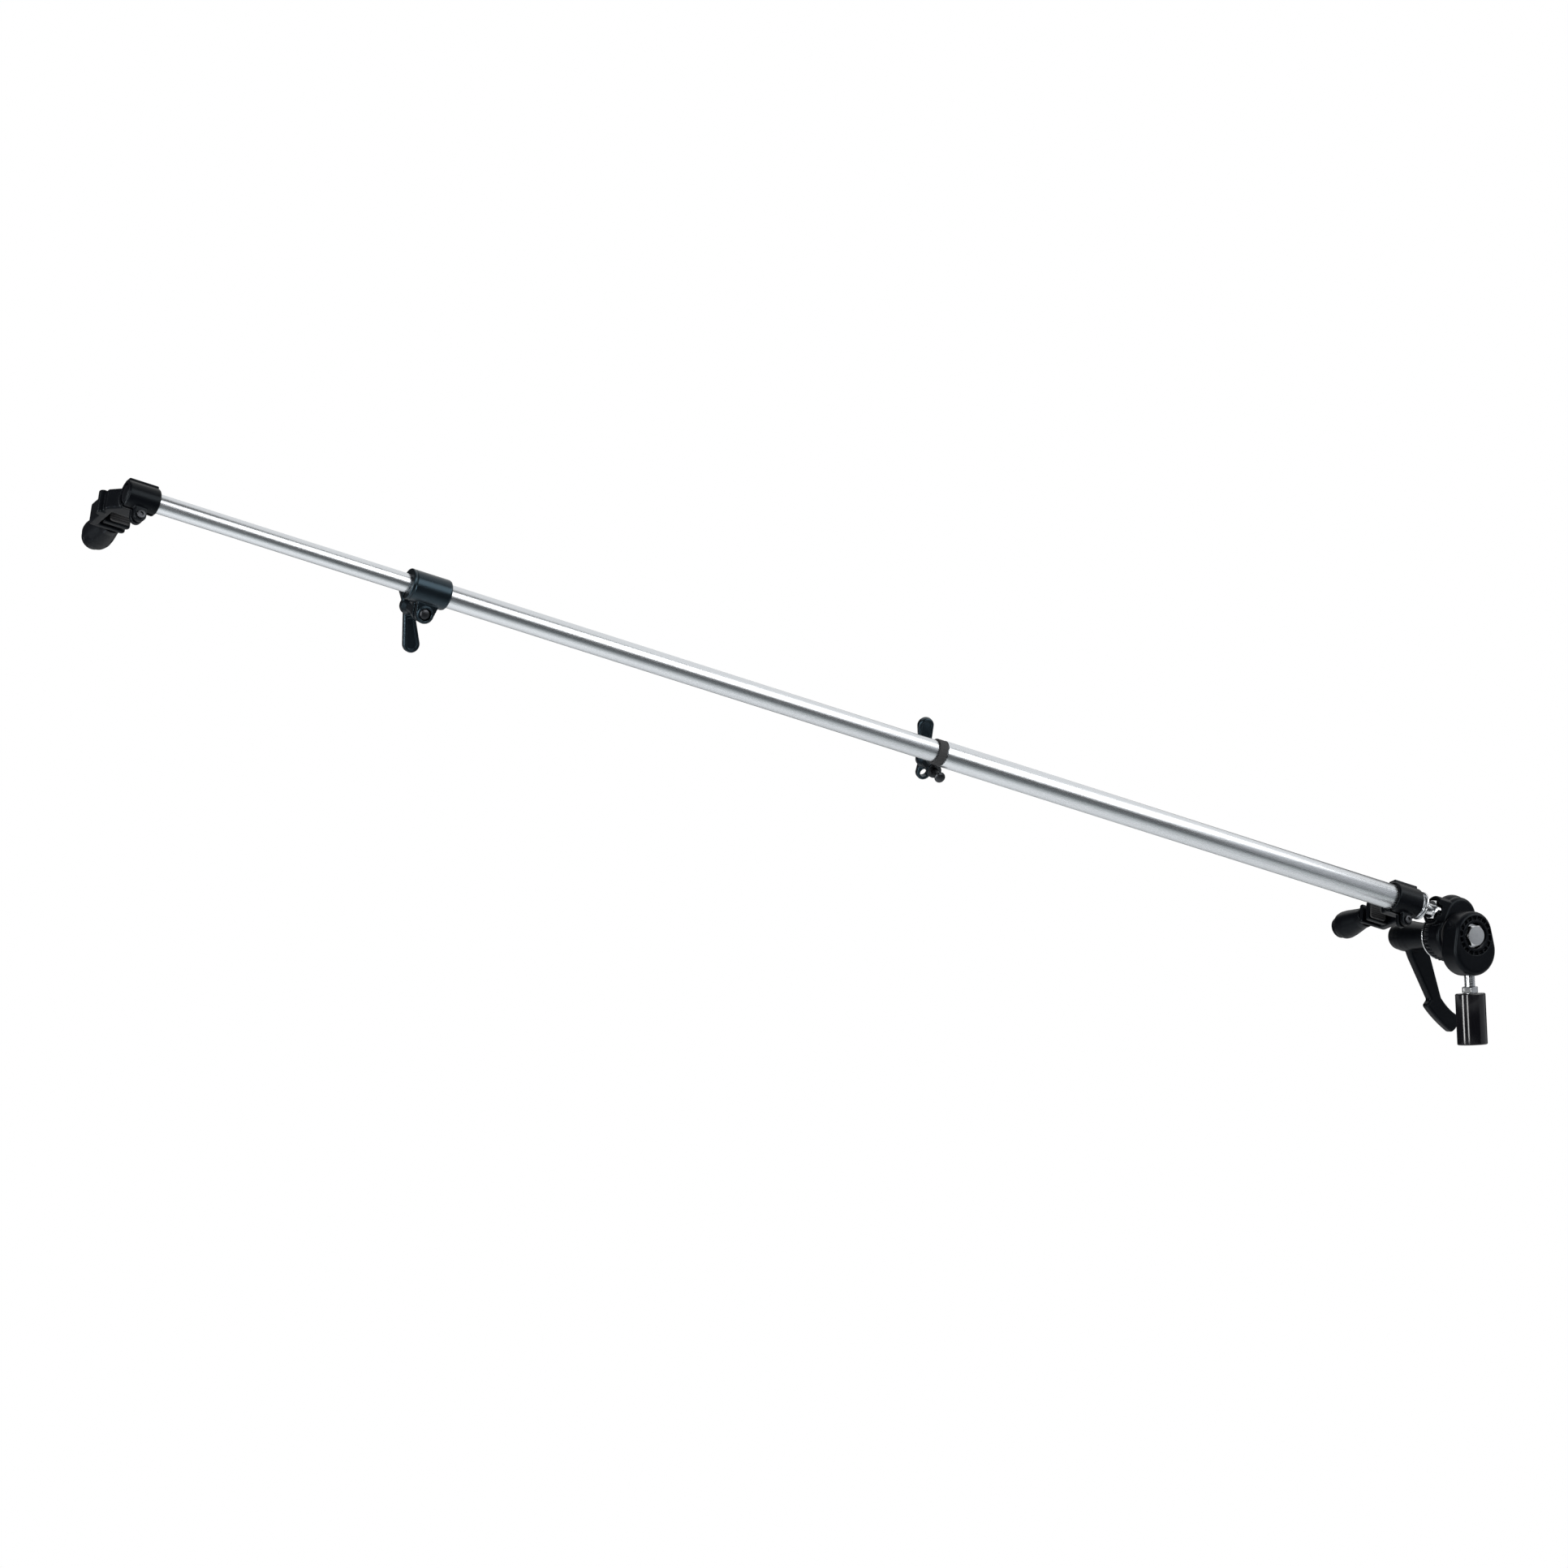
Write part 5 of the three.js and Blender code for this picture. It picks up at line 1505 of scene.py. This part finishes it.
    def pad(self, near: float, facing: int) -> Mesh:
        """A ribbed rubber pad.

        Args:
            near: distance of its near face from the tube's axis.
            facing: 1 if its grip side faces away from the tube, -1 if towards it.

        Returns:
            The mesh.
        """
        width, height = self.jaw_half - self.pad_margin, self.jaw_height - self.pad_margin
        far = near + self.pad_thickness
        right, top = width - self.pad_round, height - self.pad_round
        outline: Profile = []
        for quarter, centre in enumerate(((right, top), (-right, top), (-right, -top), (right, -top))):
            outline += arc(centre, self.pad_round, 90 * quarter, 90 * quarter + 90, 8)
        body = softened(slab(outline, -far, -near, Axis.Y), 0.4, 3, 60.0)
        piece = Workpiece(body)
        face = -far if facing > 0 else -near
        groove = (2 * width + PAST / 2, self.groove_width, self.groove_height)
        for index in range(self.grooves):
            piece.cut(block(groove, (0.0, face, (index - self.grooves // 2) * self.groove_pitch)))
        return piece.mesh()

    def jaw(self, pad_near: float) -> Mesh:
        """The moving jaw."""
        near = pad_near + self.pad_thickness + self.gap
        far = near + self.jaw_thickness
        inside, corner = self.jaw_half, self.corner
        outline: Profile = [
            (-inside, near), (self.beam_inner - 2 * self.gap, near), (self.beam_inner - 2 * self.gap, far),
            *arc((-inside + corner, far - corner), corner, 90, 180, 8),
        ]
        hole = rod(self.rod_radius + self.gap, -far - PAST, -far + self.rod_sink + self.gap, Axis.Y)
        return Workpiece(self.plan(outline, self.jaw_height, self.jaw_edge)).cut(hole).mould(self.skin).mesh()

    def rod(self, pad_near: float) -> Mesh:
        """The threaded rod that the jaw rides on."""
        start = pad_near + self.pad_thickness + self.gap + self.jaw_thickness - self.rod_sink
        return threaded(self.rod_radius, self.thread_depth, self.thread_pitch, -self.rod_end, -start, Axis.Y)

    def knob(self) -> Mesh:
        """The tapered knob with a ring at its end."""
        foot = self.end_far + self.gap
        length = self.knob_end - foot
        waist, belly = foot + self.waist_share * length, foot + self.belly_share * length
        ring, edge = self.knob_end - self.ring_width, self.knob_edge
        body = turned([
            (0.0, -self.knob_end), (self.knob_end_radius * 0.55, -self.knob_end),
            *[(self.knob_end_radius - edge + edge * math.sin(math.radians(angle)),
               -self.knob_end + edge - edge * math.cos(math.radians(angle))) for angle in range(0, 91, 18)],
            (self.knob_end_radius, -ring), (self.knob_end_radius - 0.35, -ring + 0.2),
            (self.knob_end_radius + self.ring_step, -ring + self.ring_step),
            ((self.knob_end_radius + self.ring_step + self.knob_belly_radius) / 2 + 0.5, -(ring + belly) / 2),
            (self.knob_belly_radius, -belly), (self.knob_belly_radius - 0.5, -belly + 6.0),
            (self.knob_foot_radius, -waist), (self.knob_foot_radius, -foot), (0.0, -foot),
        ], Axis.Y, 128)
        piece = Workpiece(body)
        piece.cut(
            rod(
                self.end_boss_radius + self.gap,
                -foot - self.end_boss_height - self.gap, -foot + PAST, Axis.Y,
            ),
            rod(self.rod_radius + self.gap, -self.knob_bore_end, -foot + PAST, Axis.Y),
        )
        return piece.mould(self.skin, 4).mesh()


# Studio


@dataclass(frozen=True)
class Lamp:
    """One soft box."""

    name: str
    at: Triple
    size: Pair
    watts: float


@dataclass
class Studio:
    """Floor, light and camera."""

    focus: Triple = (-0.60, 0.02, 0.26)
    floor_height: float = -1.25
    floor_half: float = 30.0
    card_radius: float = 2.45
    card_from: float = 8.0
    card_to: float = 312.0
    card_low: float = -0.60
    card_high: float = 0.20
    card_fade: float = 0.6
    card_steps: int = 96
    card_dark: Triple = (0.02, 0.02, 0.022)
    card_grey: Triple = (0.50, 0.51, 0.53)
    card_pale: Triple = (0.80, 0.81, 0.82)
    back_high: float = 1.0
    apron_near: float = -3.4
    apron_far: float = -0.35
    apron_half: float = 3.4
    apron_fade: float = 0.80
    apron_height: float = -0.60
    apron_dark: Triple = (0.09, 0.10, 0.105)
    apron_pale: Triple = (0.62, 0.64, 0.64)
    floor_low: Triple = (0.88, 0.885, 0.89)
    floor_high: Triple = (0.90, 0.905, 0.91)
    surround: tuple[float, float, float, float] = (0.96, 0.98, 1.0, 1.0)
    surround_strength: float = 0.26
    gloss_cut: float = -0.20
    white: tuple[float, float, float, float] = (1.0, 1.0, 1.0, 1.0)
    camera_at: Triple = (-2.3708, -3.0599, 0.1958)
    camera_right: Triple = (0.8743, -0.4833, -0.0443)
    camera_forward: Triple = (0.4843, 0.8747, 0.0154)
    lens: float = 100.26
    sensor: float = 36.0
    clip_end: float = 100.0
    lamps: tuple[Lamp, ...] = field(default_factory=lambda: (
        Lamp("softbox_front", (0.60, -1.90, 1.28), (3.9, 1.5), 56.0),
        Lamp("softbox_top", (0.5, 0.75, 2.2), (4.2, 3.6), 40.0),
        Lamp("strip_left", (-2.72, 0.38, 0.45), (0.42, 1.9), 34.0),
        Lamp("strip_front_left", (-2.34, -1.24, 0.45), (0.36, 1.9), 22.0),
    ))

    def build(self) -> None:
        """Makes the whole studio."""
        self.camera()
        self.world()
        self.floor()
        self.dark_cards()
        self.apron()
        for lamp in self.lamps:
            self.light(lamp)
        bpy.context.scene.view_settings.view_transform = "Standard"

    def camera(self) -> None:
        """The camera at the photograph's viewing angle."""
        data = bpy.data.cameras.new("photo_camera")
        data.lens = self.lens
        data.sensor_width = self.sensor
        data.clip_end = self.clip_end
        made = bpy.data.objects.new("photo_camera", data)
        bpy.context.scene.collection.objects.link(made)
        forward = Vector(self.camera_forward).normalized()
        right = (Vector(self.camera_right) - forward * Vector(self.camera_right).dot(forward)).normalized()
        up = right.cross(forward)
        made.matrix_world = (
            Matrix.Translation(self.camera_at) @ Matrix((right, up, -forward)).transposed().to_4x4()
        )
        bpy.context.scene.camera = made

    def seen(self, graph: Graph) -> Field:
        """1 for rays that come straight from the camera."""
        path = graph.node("ShaderNodeLightPath", {}, {})
        return Field(graph, path.outputs["Is Camera Ray"])

    def world(self) -> None:
        """A white surround that lights the object a little less than it shows."""
        made = bpy.data.worlds.new("studio")
        made.use_nodes = True
        graph = Graph(made.node_tree)
        path = graph.node("ShaderNodeLightPath", {}, {})
        gloss = Field(graph, path.outputs["Is Glossy Ray"])
        light = graph.node("ShaderNodeBackground", {}, {
            "Color": self.surround, "Strength": gloss * self.gloss_cut + self.surround_strength,
        })
        shown = graph.node("ShaderNodeBackground", {}, {"Color": self.white, "Strength": 1.0})
        mixed = graph.node("ShaderNodeMixShader", {}, {
            0: self.seen(graph), 1: light.outputs[0], 2: shown.outputs[0],
        })
        graph.node("ShaderNodeOutputWorld", {}, {"Surface": mixed.outputs[0]})
        bpy.context.scene.world = made

    def floor(self) -> None:
        """The pale floor, low enough for the arm at its lowest tilt."""
        bm = bmesh.new()
        bmesh.ops.create_grid(bm, x_segments=4, y_segments=4, size=self.floor_half)
        moved(bm, (self.focus[0], self.focus[1], self.floor_height))
        data = bpy.data.meshes.new("studio_floor")
        bm.to_mesh(data)
        bm.free()
        paint = bpy.data.materials.new("floor_paint")
        paint.use_nodes = True
        graph = Graph(paint.node_tree)
        mottle = graph.noise(graph.place(), 3.0, 3.0)
        matt = graph.node("ShaderNodeBsdfDiffuse", {}, {
            "Color": graph.blend(mottle, self.floor_low, self.floor_high),
        })
        glow = graph.node("ShaderNodeEmission", {}, {"Color": self.white, "Strength": 1.0})
        share = self.seen(graph)
        graph.finish(graph.node("ShaderNodeMixShader", {}, {
            0: share, 1: matt.outputs[0], 2: glow.outputs[0],
        }))
        data.materials.append(paint)
        made = bpy.data.objects.new("studio_floor", data)
        bpy.context.scene.collection.objects.link(made)

    def dark_cards(self) -> None:
        """Curved cards round the set, out of shot, that draw the soft dark lines along bright metal."""
        front, back = (self.card_from, self.card_to), (self.card_to - 360.0, self.card_from)
        self.card("dark_card", front, (self.card_low, self.card_high), self.card_dark)
        self.card("grey_card", back, (self.card_low, self.back_high), self.card_grey)

    def card(self, name: str, angles: Pair, heights: Pair, dark: Triple) -> None:
        """One upright curved card, dark along its middle height.

        Args:
            name: name of the object.
            angles: first and last angle about the set, in degrees from +X.
            heights: lower and upper edge.
            dark: its colour there.
        """
        low, high = heights
        bm = bmesh.new()
        rows = []
        for step in range(self.card_steps + 1):
            angle = math.radians(angles[0] + (angles[1] - angles[0]) * step / self.card_steps)
            out = Vector((math.cos(angle), math.sin(angle), 0.0)) * self.card_radius
            centre = Vector((self.focus[0], self.focus[1], 0.0))
            rows.append([bm.verts.new(centre + out + Vector((0.0, 0.0, height))) for height in (low, high)])
        for left, right in zip(rows, rows[1:]):
            bm.faces.new((left[0], right[0], right[1], left[1]))
        middle = (low + high) / 2
        half = (high - low) / 2

        def colour(graph: Graph) -> Socket:
            """Dark at the middle height, pale towards the upper and lower edges."""
            split = graph.node("ShaderNodeSeparateXYZ", {}, {0: graph.place()})
            height = Field(graph, split.outputs[2]) - middle
            share = height.most(height * -1.0).above(half * self.card_fade, half * (1.0 - self.card_fade))
            return graph.blend(share, dark, self.card_pale)

        self.hidden(name, bm, colour)

    def apron(self) -> None:
        """A dark cloth on the floor before the set, out of shot, that shades the tubes below their middle."""
        bm = bmesh.new()
        left, right = self.focus[0] - self.apron_half, self.focus[0] + self.apron_half
        corners = (
            (left, self.apron_near), (right, self.apron_near),
            (right, self.apron_far), (left, self.apron_far),
        )
        bm.faces.new([bm.verts.new((x, y, self.apron_height)) for x, y in corners])

        def colour(graph: Graph) -> Socket:
            """Dark, paler towards the set."""
            split = graph.node("ShaderNodeSeparateXYZ", {}, {0: graph.place()})
            share = Field(graph, split.outputs[1]).above(self.apron_far - self.apron_fade, self.apron_fade)
            return graph.blend(share, self.apron_dark, self.apron_pale)

        self.hidden("dark_apron", bm, colour)

    def hidden(self, name: str, bm: Mesh, colour: Callable[[Graph], Socket]) -> None:
        """Hangs a matt card that the camera doesn't see.

        Args:
            name: name of the object and its paint.
            bm: its mesh, in metres.
            colour: makes the colour's socket in the paint's graph.
        """
        data = bpy.data.meshes.new(name)
        bm.to_mesh(data)
        bm.free()
        paint = bpy.data.materials.new(name)
        paint.use_nodes = True
        graph = Graph(paint.node_tree)
        graph.finish(graph.node("ShaderNodeBsdfDiffuse", {}, {"Color": colour(graph)}))
        data.materials.append(paint)
        made = bpy.data.objects.new(name, data)
        made.visible_camera = False
        made.visible_shadow = False
        bpy.context.scene.collection.objects.link(made)

    def light(self, lamp: Lamp) -> None:
        """Hangs one soft box, turned to the object."""
        data = bpy.data.lights.new(lamp.name, "AREA")
        data.shape = "RECTANGLE"
        data.size, data.size_y = lamp.size
        data.energy = lamp.watts
        made = bpy.data.objects.new(lamp.name, data)
        made.location = lamp.at
        made.rotation_mode = "QUATERNION"
        made.rotation_quaternion = (Vector(self.focus) - Vector(lamp.at)).to_track_quat("-Z", "Y")
        bpy.context.scene.collection.objects.link(made)


def main() -> None:
    """Builds the studio and every sub-assembly, in order."""
    logging.basicConfig(level=logging.INFO, format="%(name)s: %(message)s")
    Studio().build()
    parts = [
        StandFitting(),
        ClampLever(),
        ArmKnuckle(),
        Telescope(),
        ClampCollar("root", "outer_section", "root_knob",
                    length=30.0, wide_radius=11.0, narrow_radius=9.25, wing_angle=204.0),
        ClampCollar("tip", "middle_section", "tip_knob",
                    length=34.0, wide_radius=9.25, narrow_radius=7.5, wing_angle=24.0),
        RimGripper("head", tube_radius=11.0, length=30.0, side=-1, mouth_trim=3.2, skin_trim=0.5),
        RimGripper("tip", tube_radius=7.5, length=26.0, side=1),
    ]
    for part in parts:
        part.build()
        log.info("finished %s", type(part).__name__)


if __name__ == "__main__":
    main()
